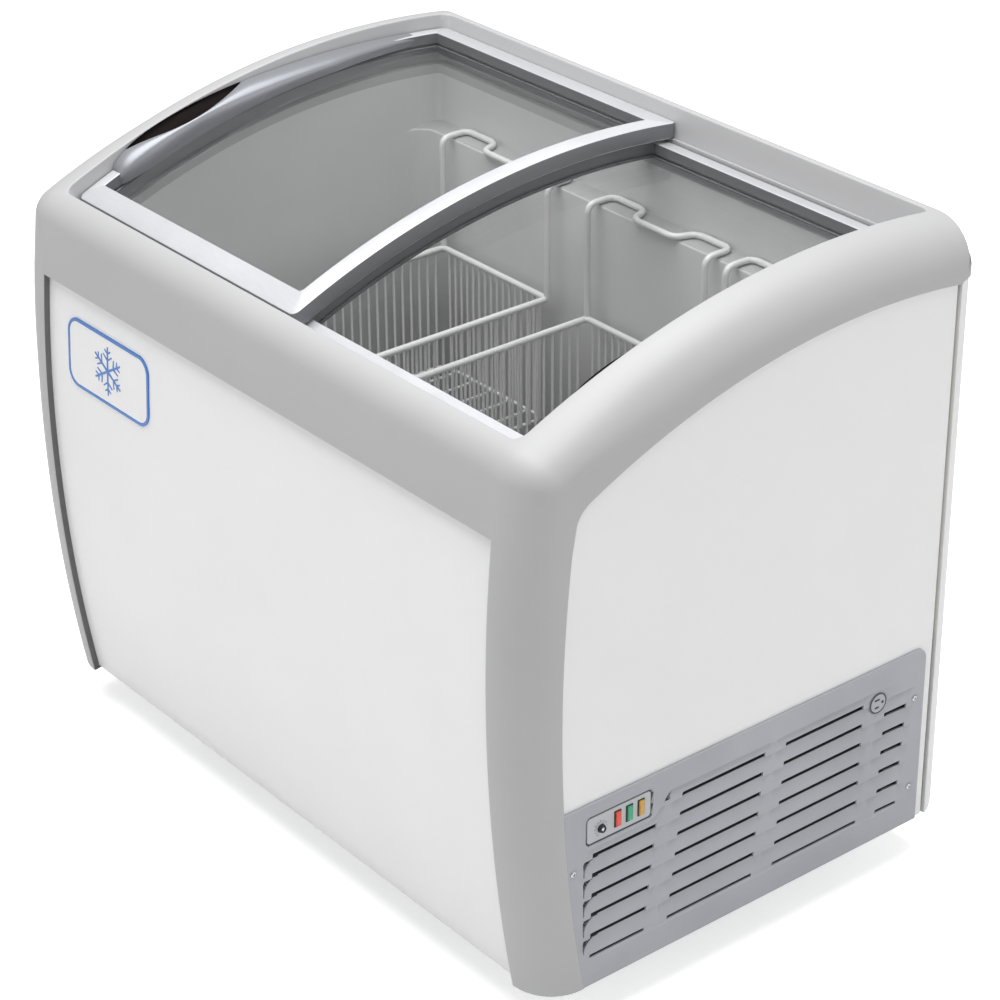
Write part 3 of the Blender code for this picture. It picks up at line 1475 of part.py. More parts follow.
def pipe_work(copper, black):
    profile = [(0.0, 0.004), (0.010, 0.011), (0.080, 0.011), (0.092, 0.004)]
    turned("filter_drier", profile, (0.425, 0.080, 0.120), (0, 1, 0), copper, 12)
    out = [(0.377, 0.190, 0.200), (0.415, 0.190, 0.200), (0.415, 0.060, 0.225), (0.474, 0.045, 0.236)]
    out += [(0.474, 0.017, 0.236)]
    wire("discharge_line", rounded_path(out, 0.02), 0.003, copper)
    back = [(0.300, 0.190, 0.2385), (0.300, 0.190, 0.290), (0.240, 0.190, 0.290), (0.240, 0.020, 0.290)]
    wire("suction_line", rounded_path(back, 0.02), 0.004, copper)
    cord = []
    for i in range(31):
        turn = 2 * math.pi * 2.5 * i / 30
        reach = 0.034 + 0.009 * turn / (2 * math.pi)
        cord.append((0.282 + reach * math.cos(turn), -0.150 + reach * math.sin(turn), 0.069))
    cord += [(0.232, -0.10, 0.069), (0.226, 0.05, 0.069), (0.222, 0.310, 0.069)]
    plug = box("plug", (0.300, 0.330), (-0.162, -0.138), (0.0645, 0.0850))
    join(wire("power_cord", cord, 0.0035, black), plug)


# Grille side


def grille_outline(inset=0.0):
    front = side_outline(3 * GAP + inset, GRILLE_TOP - inset)
    back, top, low = GRILLE_BACK - inset, GRILLE_TOP - inset, front[0][1]
    middle_y, middle_z = back - GRILLE_CORNER, top - GRILLE_CORNER
    bend = []
    for t in spread(0, math.pi / 2, 5):
        bend.append((middle_y + GRILLE_CORNER * math.sin(t), middle_z + GRILLE_CORNER * math.cos(t)))
    return front + bend + [(back, low)]


def grille_slots():
    """Stadium-shaped louvre slots in four columns, as one cutter."""
    columns = (
        (-0.2235, -0.1370, 0, 6),
        (-0.1010, 0.0330, -1, 6),
        (0.0680, 0.1975, -1, 6),
        (0.2320, 0.2770, 0, 6),
    )
    half = SLOT_HALF
    outlines = []
    for y0, y1, first, last in columns:
        for row in range(first, last):
            z = SLOT_Z - SLOT_PITCH * row
            end = [(y0 + half * (1 - math.sin(t)), z - half * math.cos(t)) for t in spread(math.pi, 0, 5)]
            outlines.append(end + [(y1, z - half), (y1, z + half)])
    return thickened("louvre_slots", outlines, YZ_PLANE, (HALF_W, 0, 0), 0.04, None)


def grille_panel(look):
    panel = plate("grille_panel", grille_outline(), (SIDE_X - SHEET, HALF_W), look)
    y = (BEZEL_Y[0] - GAP, BEZEL_Y[1] + GAP)
    z = (BEZEL_Z[0] - GAP, BEZEL_Z[1] + GAP)
    room = box("bezel_room", (0.49, 0.53), y, z)
    well = rod("socket_room", (HALF_W, *SOCKET), RIGHT, (-0.02, 0.02), SOCKET_R + GAP, segments=20)
    cut(panel, grille_slots(), room, well)
    for name, y, z in SCREWS:
        cut(panel, rod(f"hole_{name}", (HALF_W, y, z), RIGHT, (-0.02, 0.02), 0.0019, segments=10))
    return panel


def grille_screws(look):
    profile = [(-0.0060, 0.0015), (GAP, 0.0015), (GAP, 0.0038), (0.0014, 0.0034), (0.0022, 0.0016)]
    for name, y, z in SCREWS:
        turned(f"grille_screw_{name}", profile, (HALF_W, y, z), RIGHT, look, 12)


def controls(look, lenses):
    """The bezel with its three lamp lenses."""
    bezel = box("control_bezel", (0.5035, HALF_W + 0.0015), BEZEL_Y, BEZEL_Z, look)
    cut(bezel, rod("dial_room", (HALF_W, *DIAL), RIGHT, (-0.02, 0.02), 0.0035, segments=12))
    for name, y in LAMPS:
        x = (0.5020, HALF_W + 0.0035)
        box(name, x, around(y, LAMP_HALF_Y), around(LAMP_Z, LAMP_HALF_Z), lenses[name])
        room_y = around(y, LAMP_HALF_Y + GAP)
        cut(bezel, box(f"room_{name}", (0.48, 0.54), room_y, around(LAMP_Z, LAMP_HALF_Z + GAP)))
    return bezel


def service_socket(look):
    profile = [(-0.012, SOCKET_R), (0.0010, SOCKET_R), (0.0018, SOCKET_R - 0.0015)]
    socket = turned("service_socket", profile, (HALF_W, *SOCKET), RIGHT, look, 20)
    for offset in (-0.0050, 0.0050):
        y, z = around(SOCKET[0] + offset, 0.001), around(SOCKET[1], 0.004)
        cut(socket, box(f"socket_slot_{offset}", (HALF_W - 0.006, HALF_W + 0.01), y, z))
    return socket


def thermostat(look, dark):
    body = [(-0.0280, 0.0028), (0.0018, 0.0028), (0.0018, 0.0065), (0.0055, 0.0060)]
    dial = turned("thermostat_dial", body, (HALF_W, *DIAL), RIGHT, look, 16)
    x, z = (HALF_W + 0.0040, HALF_W + 0.01), (DIAL[1], DIAL[1] + 0.008)
    cut(dial, box("dial_notch", x, around(DIAL[0], 0.0008), z))
    box("thermostat_body", (0.452, 0.4815), around(DIAL[0], 0.017), (0.262, 0.292), dark)
    return pivot("thermostat_turn", (HALF_W, *DIAL), dial)


# Lids


def lid_span(side):
    """The lid's outer edges and its glass opening in x, smallest first. Side -1 is the left lid."""
    outer = sorted((side * LID_OUT, -side * LID_OVER))
    glass = sorted((side * (LID_OUT - LID_SIDE), -side * (LID_OVER - LID_RAIL)))
    return outer, glass


def lid(name, side, depth, ends, frame_look, glass_look):
    """A bent frame with the glass held in a groove round its inner edge."""
    outer, glass = lid_span(side)
    base = (depth, depth + FRAME_T)
    frame = arc_slab(f"{name}_frame", outer, ends, base, frame_look)
    sheet = (depth + GLASS_SINK, depth + GLASS_SINK + GLASS_T)
    reach = 0.006
    x = (glass[0] - reach, glass[1] + reach)
    y = (GLASS_Y[0] - reach, GLASS_Y[1] + reach)
    pane = arc_slab(f"{name}_glass", x, y, sheet, glass_look)
    window = arc_slab(f"{name}_window", glass, GLASS_Y, (depth - 0.01, depth + 0.04))
    groove = arc_slab(
        f"{name}_groove",
        (x[0] - GAP, x[1] + GAP),
        (y[0] - GAP, y[1] + GAP),
        (sheet[0] - GAP, sheet[1] + GAP),
    )
    return cut(frame, window, groove), pane


def left_handle(look):
    """A raised grip on the outer member of the left lid, widest near the front, with a finger scoop."""
    start, end, widest = -0.232, 0.255, 0.28
    x = -0.4450
    rings = []
    for y in spread(start, end, 15):
        t = (y - start) / (end - start)
        rise = math.sin(math.pi / 2 * t / widest)
        fall = math.cos(math.pi / 2 * (t - widest) / (1 - widest))
        swell = max(rise if t < widest else fall, 0.12)
        low = arc_z(y, UPPER_D) + GAP
        wide = 0.014 + 0.016 * swell
        high = 0.003 + 0.013 * swell
        section = [(0, 0), (0, 0.5), (0.3, 1), (0.7, 1), (1, 0.45), (1, 0)]
        rings.append([(x + wide * across, y, low + high * up) for across, up in section])
    handle = loft("left_lid_handle", rings, look)
    scoop = []
    for y in spread(-0.215, 0.020, 9):
        t = (y + 0.215) / 0.235
        wide = 0.019 * math.sin(math.pi * min(max(t, 0.04), 0.96))
        low = arc_z(y, UPPER_D) + 0.004
        back = x - 0.017
        front = x + 0.003
        section = [(back, low), (front + wide * 0.8, low), (front + wide, low + 0.026), (back, low + 0.026)]
        scoop.append([(px, y, pz) for px, pz in section])
    return cut(handle, loft("left_scoop", scoop))


def right_handle(look):
    """A low pull on the outer member of the right lid, thin enough for the upper lid to pass over it."""
    start, end = -0.190, 0.120
    x = 0.4440
    rings = []
    for y in spread(start, end, 11):
        t = (y - start) / (end - start)
        wide = 0.012 + 0.048 * math.sin(math.pi * min(max(t, 0.02), 0.98))
        low = arc_z(y, LOWER_D) + GAP
        section = [(x, 0), (x, 0.0020), (x - wide + 0.002, 0.0028), (x - wide, 0.0016), (x - wide, 0)]
        rings.append([(px, y, low + up) for px, up in section])
    return loft("right_lid_handle", rings, look)


# Baskets


def hanger(name, x, y_leg, y_rod, z_rod, side):
    """A wire loop that rises from the basket's rim, leans outwards and lies on the liner's ledge."""
    half = BASKET_W / 2 - WIRE_R
    notch = y_rod - side * 0.033
    low = BASKET_Z[1] - 0.012
    left = [(x - half, y_leg, low), (x - half, y_leg, z_rod), (x - half, y_rod, z_rod)]
    left.append((x - 0.048, y_rod, z_rod))
    middle = [(x - 0.030, notch, z_rod), (x + 0.030, notch, z_rod)]
    right = [(2 * x - px, py, pz) for px, py, pz in reversed(left)]
    return wire(name, rounded_path(left + middle + right, 0.014, 2), WIRE_R)


def basket(name, x, look):
    """A tub of the basket's outer size, joined to the two wire loops that carry it."""
    half, wall = BASKET_W / 2, 0.004
    tub = box(name, around(x, half), BASKET_Y, BASKET_Z, look)
    y = (BASKET_Y[0] + wall, BASKET_Y[1] - wall)
    z = (BASKET_Z[0] + wall, BASKET_Z[1] + 0.1)
    cut(tub, box(f"{name}_hollow", around(x, half - wall), y, z))
    rest = WIRE_R + GAP
    back = hanger(f"{name}_back", x, BASKET_Y[1] - WIRE_R, 0.2925, LEDGE_Z[1] + rest, 1)
    front = hanger(f"{name}_front", x, BASKET_Y[0] + WIRE_R, -0.2430, LEDGE_Z[0] + rest, -1)
    join(tub, back, front)
    return pivot(f"{name}_lift", (x, 0.0, BASKET_Z[1]), tub)


# Casters


def caster(name, x, y, steel, rubber):
    """A swivel caster: a plate with its kingpin, a fork with its axle, and a wheel."""
    top = BODY_Z - GAP
    plate_part = box(f"{name}_plate", around(x, 0.022), around(y, 0.022), (top - 0.003, top), steel)
    race = rod(f"{name}_race", (x, y, top), UP, (-0.009, -0.002), 0.014)
    kingpin = rod(f"{name}_kingpin", (x, y, top), UP, (-0.0155, -0.005), 0.004)
    join(plate_part, race, kingpin)
    crown = top - 0.0095
    fork = box(f"{name}_fork", around(x, 0.013), (y - 0.011, y + TRAIL + 0.008), (0.014, crown), steel)
    arch = box(f"{name}_arch", around(x, 0.0105), around(y, 0.05), (0.0, 2 * WHEEL_R + 0.0025))
    heel = box(f"{name}_heel", around(x, 0.05), (y - 0.05, y + 0.006), (0.0, 2 * WHEEL_R))
    hole = rod(f"{name}_hole", (x, y, top), UP, (-0.030, 0.0), 0.0044)
    cut(fork, arch, heel, hole)
    hub = (x, y + TRAIL, WHEEL_R)
    join(fork, rod(f"{name}_axle", hub, RIGHT, around(0.0, 0.0125), 0.0045))
    h, r = WHEEL_HALF, WHEEL_R
    tread = [(-h, 0.005), (-h, r - 0.003), (-h + 0.003, r), (h - 0.003, r), (h, r - 0.003), (h, 0.005)]
    wheel = turned(f"{name}_wheel", tread, hub, RIGHT, rubber, 24, bored=True)
    axle = pivot(f"{name}_spin", hub, wheel)
    pivot(f"{name}_swivel", (x, y, crown), fork, axle)


# Build

for old in list(bpy.data.objects):
    bpy.data.objects.remove(old, do_unlink=True)

parts = new_collection("chest_freezer")
cutters = new_collection("cutters")
cutters.hide_render = True

rim_grey = material("rim_grey", (0.42, 0.42, 0.43), 0.45)
white_paint = material("white_paint", (0.80, 0.80, 0.80), 0.35)
liner_grey = material("liner_grey", (0.55, 0.56, 0.57), 0.40)
grille_grey = material("grille_grey", (0.36, 0.37, 0.40), 0.50)
foam_cream = material("foam_cream", (0.75, 0.68, 0.48), 0.90)
zinc = material("zinc_steel", (0.55, 0.56, 0.57), 0.40, 1.0)
aluminium = material("brushed_aluminium", (0.72, 0.74, 0.78), 0.35, 1.0)
glass = material("clear_glass", (0.92, 0.96, 0.96), 0.05, 0.0, 1.0)
grip_metal = material("grip_metal", (0.48, 0.50, 0.54), 0.35, 0.6)
black_plastic = material("black_plastic", (0.02, 0.02, 0.02), 0.45)
black_enamel = material("black_enamel", (0.03, 0.03, 0.03), 0.30, 0.2)
copper = material("copper", (0.72, 0.38, 0.24), 0.30, 1.0)
coil_black = material("coil_black", (0.05, 0.05, 0.05), 0.40, 0.5)
white_wire = material("white_wire", (0.80, 0.80, 0.80), 0.35)
rubber = material("caster_rubber", (0.10, 0.10, 0.10), 0.70)
badge_blue = material("badge_blue", (0.05, 0.20, 0.50), 0.35)
lamp_looks = {
    "indicator_red": material("lens_red", (0.80, 0.10, 0.06), 0.20),
    "indicator_green": material("lens_green", (0.05, 0.50, 0.25), 0.20),
    "indicator_amber": material("lens_amber", (0.75, 0.50, 0.05), 0.20),
}

top_frame(rim_grey)
corner_post("corner_post_left", -1, rim_grey)
corner_post("corner_post_right", 1, rim_grey)
rear_post("rear_post_left", -1, white_paint)
rear_post("rear_post_right", 1, white_paint)
front_panel(white_paint)
side_panel("side_panel_left", -1, white_paint)
grille_opening = plate("grille_opening", grille_outline(-2 * GAP), (0.49, 0.53))
side_panel("side_panel_right", 1, white_paint, grille_opening)
back_panel(white_paint)
base_pan(zinc)
machine_bulkhead(zinc)
foam_insulation(foam_cream)
inner_liner(liner_grey)
drain_plug(black_plastic)
evaporator_coil(copper)
compressor(black_enamel)
condenser_coil(coil_black)
fan_shroud(zinc)
fan_motor(black_enamel)
fan_blade(zinc)
pipe_work(copper, black_plastic)
grille_panel(grille_grey)
grille_screws(zinc)
controls(grille_grey, lamp_looks)
service_socket(black_plastic)
thermostat(grille_grey, black_plastic)
badge(badge_blue)
left_frame, left_glass = lid("left_lid", -1, UPPER_D, UPPER_Y, aluminium, glass)
right_frame, right_glass = lid("right_lid", 1, LOWER_D, LOWER_Y, aluminium, glass)
left_place = (-0.214, 0.0, arc_z(0.0, UPPER_D))
right_place = (0.214, 0.0, arc_z(0.0, LOWER_D))
pivot("left_lid_slide", left_place, left_frame, left_glass, left_handle(grip_metal))
pivot("right_lid_slide", right_place, right_frame, right_glass, right_handle(black_plastic))
for label, middle in zip(("left", "middle", "right"), BASKET_X):
    basket(f"basket_{label}", middle, white_wire)
for side_name, side in (("left", -1), ("right", 1)):
    for end_name, end in (("front", CASTER_Y[0]), ("rear", CASTER_Y[1])):
        caster(f"caster_{end_name}_{side_name}", side * CASTER_X, end, zinc, rubber)
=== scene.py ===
"""Looks for the chest freezer: fine shells, lids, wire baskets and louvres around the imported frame.

Metres, +Z up. The floor is z = 0, the front faces -Y, and the ventilated side faces +X.
"""

import math

import bmesh
import bpy
import numpy as np
from mathutils import Matrix, Vector


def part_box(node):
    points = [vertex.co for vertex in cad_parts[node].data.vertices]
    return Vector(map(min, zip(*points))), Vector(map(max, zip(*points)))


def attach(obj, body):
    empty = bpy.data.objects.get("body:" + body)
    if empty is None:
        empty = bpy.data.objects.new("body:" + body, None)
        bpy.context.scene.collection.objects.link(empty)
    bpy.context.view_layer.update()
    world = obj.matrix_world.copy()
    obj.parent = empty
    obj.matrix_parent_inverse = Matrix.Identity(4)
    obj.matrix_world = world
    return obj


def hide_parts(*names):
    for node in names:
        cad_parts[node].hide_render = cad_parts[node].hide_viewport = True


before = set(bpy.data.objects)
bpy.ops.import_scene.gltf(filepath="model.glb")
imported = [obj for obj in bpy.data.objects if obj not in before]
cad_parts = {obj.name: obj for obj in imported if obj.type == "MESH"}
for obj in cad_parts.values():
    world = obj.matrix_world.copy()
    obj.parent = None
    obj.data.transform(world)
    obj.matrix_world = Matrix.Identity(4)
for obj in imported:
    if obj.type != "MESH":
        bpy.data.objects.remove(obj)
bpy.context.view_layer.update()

# Outer body
HALF_W = 0.510
FRONT = -0.3366
BACK = 0.3366
BODY_Z = 0.060
BOW_Z = 0.460
BOW_R = 2.265
CROWN_R = 1.950  # the front leans back again above its widest point
FRONT_ROUND = 0.045

# Curved top, and the lower edge of the grey rim
ARC_Y = 0.186
ARC_R = 1.111
ARC_TOP = 0.866
BAND_Y = 0.190
BAND_R = 0.957
BAND_TOP = 0.795
BAND_FRONT_Z = 0.6550
POST_X = 0.451
POST_EDGE_Y = -0.2747
POST_EDGE_Z = 0.420
POST_EDGE_R = 1.900
POST_LINE_TOP = 0.664
SIDE_BEND_Z = 0.66  # below it the side line belongs to the post, above it to the rim
SIDE_CORNER = (-0.2570, 0.686)  # where the post's line would meet the rim's
RIM_LINE_START = -0.232
GROOVE_Y = 0.3150
POST_ROUND = 0.056
RIM_ROUND = 0.058
CORNER_DEEP = 0.042  # the rounding is shallower where the front turns into the top
REAR_ROUND = 0.007
REAR_PULL = (-REAR_ROUND, -0.054)  # way in to the sides from the top's rear edge
REAR_EDGE = 0.004
REAR_RISE = 0.007  # the rim's lower edge turns up at the very back
RISE_START = 0.317
EDGE = 0.0020  # small rounding on moulded edges
SIDE_X = 0.507

# Opening, recess levels and lids
OPEN_X = 0.449
OPEN_Y = (-0.288, 0.324)
OPEN_CORNER = 0.015
LOWER_EDGE_Y = (-0.2645, 0.3145)
MOUTH_X = 0.436
MOUTH_Y = (-0.2495, 0.2995)
MOUTH_CORNER = 0.008
UPPER_D = 0.0190
LOWER_D = 0.0445
FRAME_T = 0.021
GLASS_SINK = 0.0145
GLASS_T = 0.004
GLASS_CORNER = 0.001
GLASS_REACH = 0.0038  # how far the pane runs into its groove
PLAY = 0.0003
UPPER_LEVEL = UPPER_D + FRAME_T + PLAY  # how deep the ledges under the two lids lie
LOWER_LEVEL = LOWER_D + FRAME_T + PLAY
WELL_DEPTH = LOWER_LEVEL + 0.012

# Liner
WALL_Y = (-0.2185, 0.268)
LEDGE_Z = (0.655, 0.715)
FLOOR_Z = 0.130
STEP_X = 0.165
STEP_Z = 0.365
FLOOR_ROUND = 0.020
LINER_CORNER = 0.028
LINER_FOLD = 0.004

# Sheets
PANEL_SINK = 0.009
HEM = 0.004
LAP = 0.004  # how far the side sheets run behind the grey shell
BADGE_T = 0.002
REAR_IN = 0.4805
VENT_X = (0.26, 0.44)
VENT_Z = (0.10, 0.27)
VENT_H = 0.007
BACK_SCREW_X = 0.462
HEAD_R = 0.0038

# Lids and grips
LID_OUT = 0.4475
LID_OVER = 0.020
LID_RAIL = 0.027
LID_SIDE = 0.0165
LID_CORNER = 0.009
UPPER_Y = (-0.270, 0.321)
LOWER_Y = (-0.262, 0.312)
GLASS_Y = (-0.240, 0.292)
GRIP_WALL = -0.4470
GRIP_INNER = -0.4310  # inner face of the frame's outer member
GRIP_Y = (-0.217, -0.155, 0.255)  # front end, highest place, rear end
GRIP_HIGH = 0.0175
GRIP_FADE = 0.190
GRIP_OVERHANG = 0.0125
GRIP_POCKET_Y = (-0.198, -0.015)
GRIP_POCKET_WIDE = 0.0245
PULL_WALL = 0.4440
PULL_Y = (-0.215, -0.035)

# Grille side
GRILLE_TOP = 0.3117
GRILLE_BACK = 0.3036
GRILLE_ROUND = 0.015
SLOT_ROWS = (0.268, 0.242, 0.2155, 0.188, 0.161, 0.1325, 0.103)
SLOT_TOP = SLOT_ROWS[0]
SLOT_LOW = SLOT_ROWS[-1]
SLOT_H = 0.0080
LAST_SLOT_H = 0.0046
SLOT_COLUMNS = (  # ends of each column of slots at its top and at its bottom
    ((-0.2290, -0.1300), (-0.2330, -0.1500)),
    ((-0.0940, 0.0370), (-0.1140, 0.0210)),
    ((0.0700, 0.1990), (0.0550, 0.1960)),
    ((0.2366, 0.2745), (0.2295, 0.2650)),
)
SHORT_COLUMNS = (0, 3)  # these have no slot in the top row
GRILLE_BANDS = (14, 24, 60, 34, 72, 26, 72, 28, 22, 14)  # steps between the lines along slot ends
GRILLE_STEP = 0.0013
FIELD_SINK = 0.0012
FIELD_TOP = 0.2806
FIELD_STEP_Z = 0.2525
FIELD_LOW = 0.094
FIELD_LEFT = -0.245
FIELD_ROUND = 0.020
# Extent of the black sheet behind the slots, which paints their shade
SHADE_SHEET_Y = (-0.228, 0.285)
SHADE_SHEET_Z = (0.088, 0.272)
BLADE_D = 0.0038
SCOOP_D = 0.0100
POCKET_Y = (-0.2415, -0.1415)
POCKET_Z = (0.2560, 0.2945)
POCKET_CORNER = 0.006
BEZEL_Y = (-0.2390, -0.1440)
BEZEL_Z = (0.2580, 0.2922)
BEZEL_ROOM_Y = (-0.2370, -0.1460)
BEZEL_ROOM_Z = (0.2600, 0.2900)
DIAL = (-0.2192, 0.2740)
LAMPS = (("red", -0.1940), ("green", -0.1765), ("amber", -0.1590))
LAMP_Z = 0.2760
LAMP_HALF_Y = 0.0036
LAMP_HALF_Z = 0.0098
SOCKET = (0.2229, 0.2616)
SOCKET_R = 0.0135
SCREWS = (("front", -0.2590, 0.2274), ("upper", 0.2869, 0.2433), ("lower", 0.2866, 0.1147))

# Baskets
BASKET_W = 0.230
BASKET_X = (-0.2575, 0.0440, 0.3020)
BASKET_Y = (-0.2030, 0.2535)
BASKET_Z = (0.378, 0.565)
RIM_WIRE_R = 0.0045
HANGER_R = 0.0044
FINE_WIRE_R = 0.0018
BASKET_CORNER = 0.007
NOTCH = (0.048, 0.039, 0.030)  # half width at the rod and at its bottom, and depth
ROD_Y = (-0.2430, 0.2925)
WIRE_PITCH_X = 0.0128
WIRE_PITCH_Y = 0.0143
FLOOR_WIRES = 6

# Badge and casters
BADGE_CORNER = 0.022
CRYSTAL_R = 0.033
CASTER_HALF = 0.022
BOLT_OUT = 0.0165
TRAIL = 0.016  # how far the axle lies behind the swivel
WHEEL_R = 0.020
WHEEL_HALF = 0.009

# Camera: azimuth, elevation and roll in degrees, its place, and its lens in millimetres
CAMERA_TURN = (51.22, 28.22, -0.41)
CAMERA_PLACE = (2.5946, -2.0356, 2.1752)
CAMERA_LENS = 106.8


# Curves of the body


def front_y(z):
    radius = CROWN_R if z > BOW_Z else BOW_R
    return FRONT + radius - math.sqrt(radius**2 - (BOW_Z - z) ** 2)


def front_corner():
    """Centre (y, z) of the round between the bowed front and the top arc, and its first and last turn."""
    crown, arc = Vector((FRONT + CROWN_R, BOW_Z)), Vector((ARC_Y, ARC_TOP - ARC_R))
    crown_reach, arc_reach = CROWN_R - FRONT_ROUND, ARC_R - FRONT_ROUND
    apart = (arc - crown).length
    along = (crown_reach**2 - arc_reach**2 + apart**2) / (2 * apart)
    way = (arc - crown).normalized()
    centre = crown + way * along + Vector((way.y, -way.x)) * math.sqrt(crown_reach**2 - along**2)
    start = math.acos((centre.y - BOW_Z) / crown_reach)
    return centre, start, math.asin((ARC_Y - centre.x) / arc_reach)


def arc_z(y, depth=0.0):
    """Height of the top arc at y, or of the arc that lies depth inside it."""
    return ARC_TOP - ARC_R + math.sqrt((ARC_R - depth) ** 2 - (y - ARC_Y) ** 2)


def band_z(y):
    """Height of the rim's lower edge at y."""
    return BAND_TOP - BAND_R + math.sqrt(BAND_R**2 - (y - BAND_Y) ** 2)


def post_edge_y(z):
    return POST_EDGE_Y + POST_EDGE_R - math.sqrt(POST_EDGE_R**2 - (z - POST_EDGE_Z) ** 2)


def spread(a, b, count):
    return [float(t) for t in np.linspace(a, b, count)]


def turns(start, end, count):
    """(cosine, sine) of angles spread between two numbers of quarter turns."""
    angles = spread(start * math.pi / 2, end * math.pi / 2, count)
    return [(math.cos(t), math.sin(t)) for t in angles]


def circle(count):
    return turns(0, 4, count + 1)[:-1]


def smoothstep(a, b, value):
    t = np.clip((value - a) / (b - a), 0.0, 1.0)
    return t * t * (3 - 2 * t)


def blend(a, b, share):
    return a + (b - a) * share


def bezier(controls, shares):
    """Points on the curve that the control points span."""
    made = []
    for share in shares:
        points = [Vector(p) for p in controls]
        while len(points) > 1:
            points = [a.lerp(b, share) for a, b in zip(points, points[1:])]
        made.append(tuple(points[0]))
    return made


def grown(span, by):
    return (span[0] - by, span[1] + by)


def side_line():
    """The grey shell's inner boundary on a side, from the foot of the post to the back of the rim."""
    line = [(post_edge_y(z), z) for z in spread(BODY_Z, POST_LINE_TOP, 24)]
    rim_start = (RIM_LINE_START, band_z(RIM_LINE_START))
    line += bezier((line[-1], SIDE_CORNER, rim_start), spread(0, 1, 10)[1:-1])
    rear = BACK - REAR_ROUND
    for y in spread(RIM_LINE_START, rear, 60):
        rise = REAR_RISE * max((y - RISE_START) / (rear - RISE_START), 0.0) ** 2
        line.append((y, band_z(y) + rise))
    return line


# Mesh helpers


class Skin:
    """Collects points and faces, and makes one piece of them."""

    def __init__(self):
        self.points = []
        self.faces = []

    def add(self, point):
        self.points.append(tuple(float(v) for v in point))
        return len(self.points) - 1

    def row(self, points):
        return [self.add(point) for point in points]

    def bridge(self, a, b, closed=False):
        """Quads between two rows of point numbers of equal length."""
        count = len(a)
        for i in range(count if closed else count - 1):
            j = (i + 1) % count
            self.faces.append((a[i], a[j], b[j], b[i]))

    def grid(self, rows, closed=False):
        """The numbers of rows of points, each row bridged to the next."""
        made = [self.row(row) for row in rows]
        for a, b in zip(made, made[1:]):
            self.bridge(a, b, closed)
        return made

    def sheet(self, rows, closed=False):
        self.grid(rows, closed)
        return self

    def tube(self, rings):
        """Closed rings joined to each other, with flat ends."""
        made = self.grid(rings, closed=True)
        self.faces += [tuple(reversed(made[0])), tuple(made[-1])]
        return self

    def hoop(self, rings):
        """Closed rings joined to each other, and the last one to the first."""
        made = self.grid(rings, closed=True)
        self.bridge(made[-1], made[0], True)
        return self

    def turned(self, centre, axis, profile, steps=32, hoop=False):
        """A profile of (height, radius) turned round an axis through centre."""
        turn = Vector(axis).to_track_quat("Z", "Y").to_matrix()
        rings = []
        for height, radius in profile:
            spots = [Vector((radius * c, radius * s, height)) for c, s in circle(steps)]
            rings.append([Vector(centre) + turn @ spot for spot in spots])
        return self.hoop(rings) if hoop else self.tube(rings)

    def welded(self, parts=None, weld=0.000005):
        """The faces as a bmesh without double points, and the layer that holds each face's part."""
        bm = bmesh.new()
        corners = [bm.verts.new(p) for p in self.points]
        layer = bm.faces.layers.int.new("part") if parts else None
        for i, face in enumerate(self.faces):
            made = bm.faces.new([corners[k] for k in dict.fromkeys(face)])
            if parts:
                made[layer] = parts[i]
        bmesh.ops.remove_doubles(bm, verts=bm.verts, dist=weld)
        return bm, layer

    def piece(self, name, look, body="body", stands_for=(), angle=35, outward=True):
        bm, _ = self.welded()
        bmesh.ops.dissolve_degenerate(bm, edges=bm.edges, dist=0.000005)
        drop_loose(bm)
        if outward:
            bmesh.ops.recalc_face_normals(bm, faces=bm.faces)
        return finished(name, made_mesh(name, bm), look, body, stands_for, angle)


def drop_loose(bm):
    loose = [v for v in bm.verts if not v.link_faces]
    bmesh.ops.delete(bm, geom=loose, context="VERTS")


def made_mesh(name, bm):
    mesh = bpy.data.meshes.new(name)
    bm.to_mesh(mesh)
    bm.free()
    return mesh


def linked(name, data):
    obj = bpy.data.objects.new(name, data)
    bpy.context.scene.collection.objects.link(obj)
    return obj


def finished(name, mesh, look, body="body", stands_for=(), angle=35):
    """Links a mesh as a piece that rides on a body, shaded smooth between its sharp edges."""
    obj = linked(name, mesh)
    mesh.materials.clear()
    mesh.materials.append(look)
    mesh.shade_smooth()
    mesh.set_sharp_from_angle(angle=math.radians(angle))
    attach(obj, body)
    if stands_for:
        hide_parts(*stands_for)
    return obj


def quarter(radius, steps=4):
    """(outward, inward) offsets round a quarter circle, from the face to the wall."""
    return [(radius * s, radius * (1 - c)) for c, s in turns(0, 1, steps + 1)]


def loop_points(x, y, radii, xs=(), ys=(), steps=6):
    """A rounded rectangle in plan, counter-clockwise from its low corner.

    xs and ys are shares of the straight runs where extra points lie.
    radii is one radius, or those of the corners (low x, low y), (high x, low y), (high x, high y),
    (low x, high y).
    """
    radii = radii if isinstance(radii, list) else [radii] * 4
    arcs = []
    places = ((0, 0, 2), (1, 0, 3), (1, 1, 0), (0, 1, 1))
    for (i, j, start), r in zip(places, radii):
        mx, my = x[i] + r * (1 - 2 * i), y[j] + r * (1 - 2 * j)
        arcs.append([(mx + r * c, my + r * s) for c, s in turns(start, start + 1, steps + 1)])
    found = []
    for i, arc in enumerate(arcs):
        found += arc
        a, b = Vector(arc[-1]), Vector(arcs[(i + 1) % 4][0])
        shares = xs if i % 2 == 0 else ys
        shares = shares if i < 2 else [1 - s for s in reversed(shares)]
        found += [tuple(a.lerp(b, s)) for s in shares]
    return found


def level_ring(points, z):
    return [(x, y, z) for x, y in points]


def side_ring(points, x):
    return [(x, y, z) for y, z in points]


def on_arc(points, depth):
    return [(x, y, arc_z(y, depth)) for x, y in points]


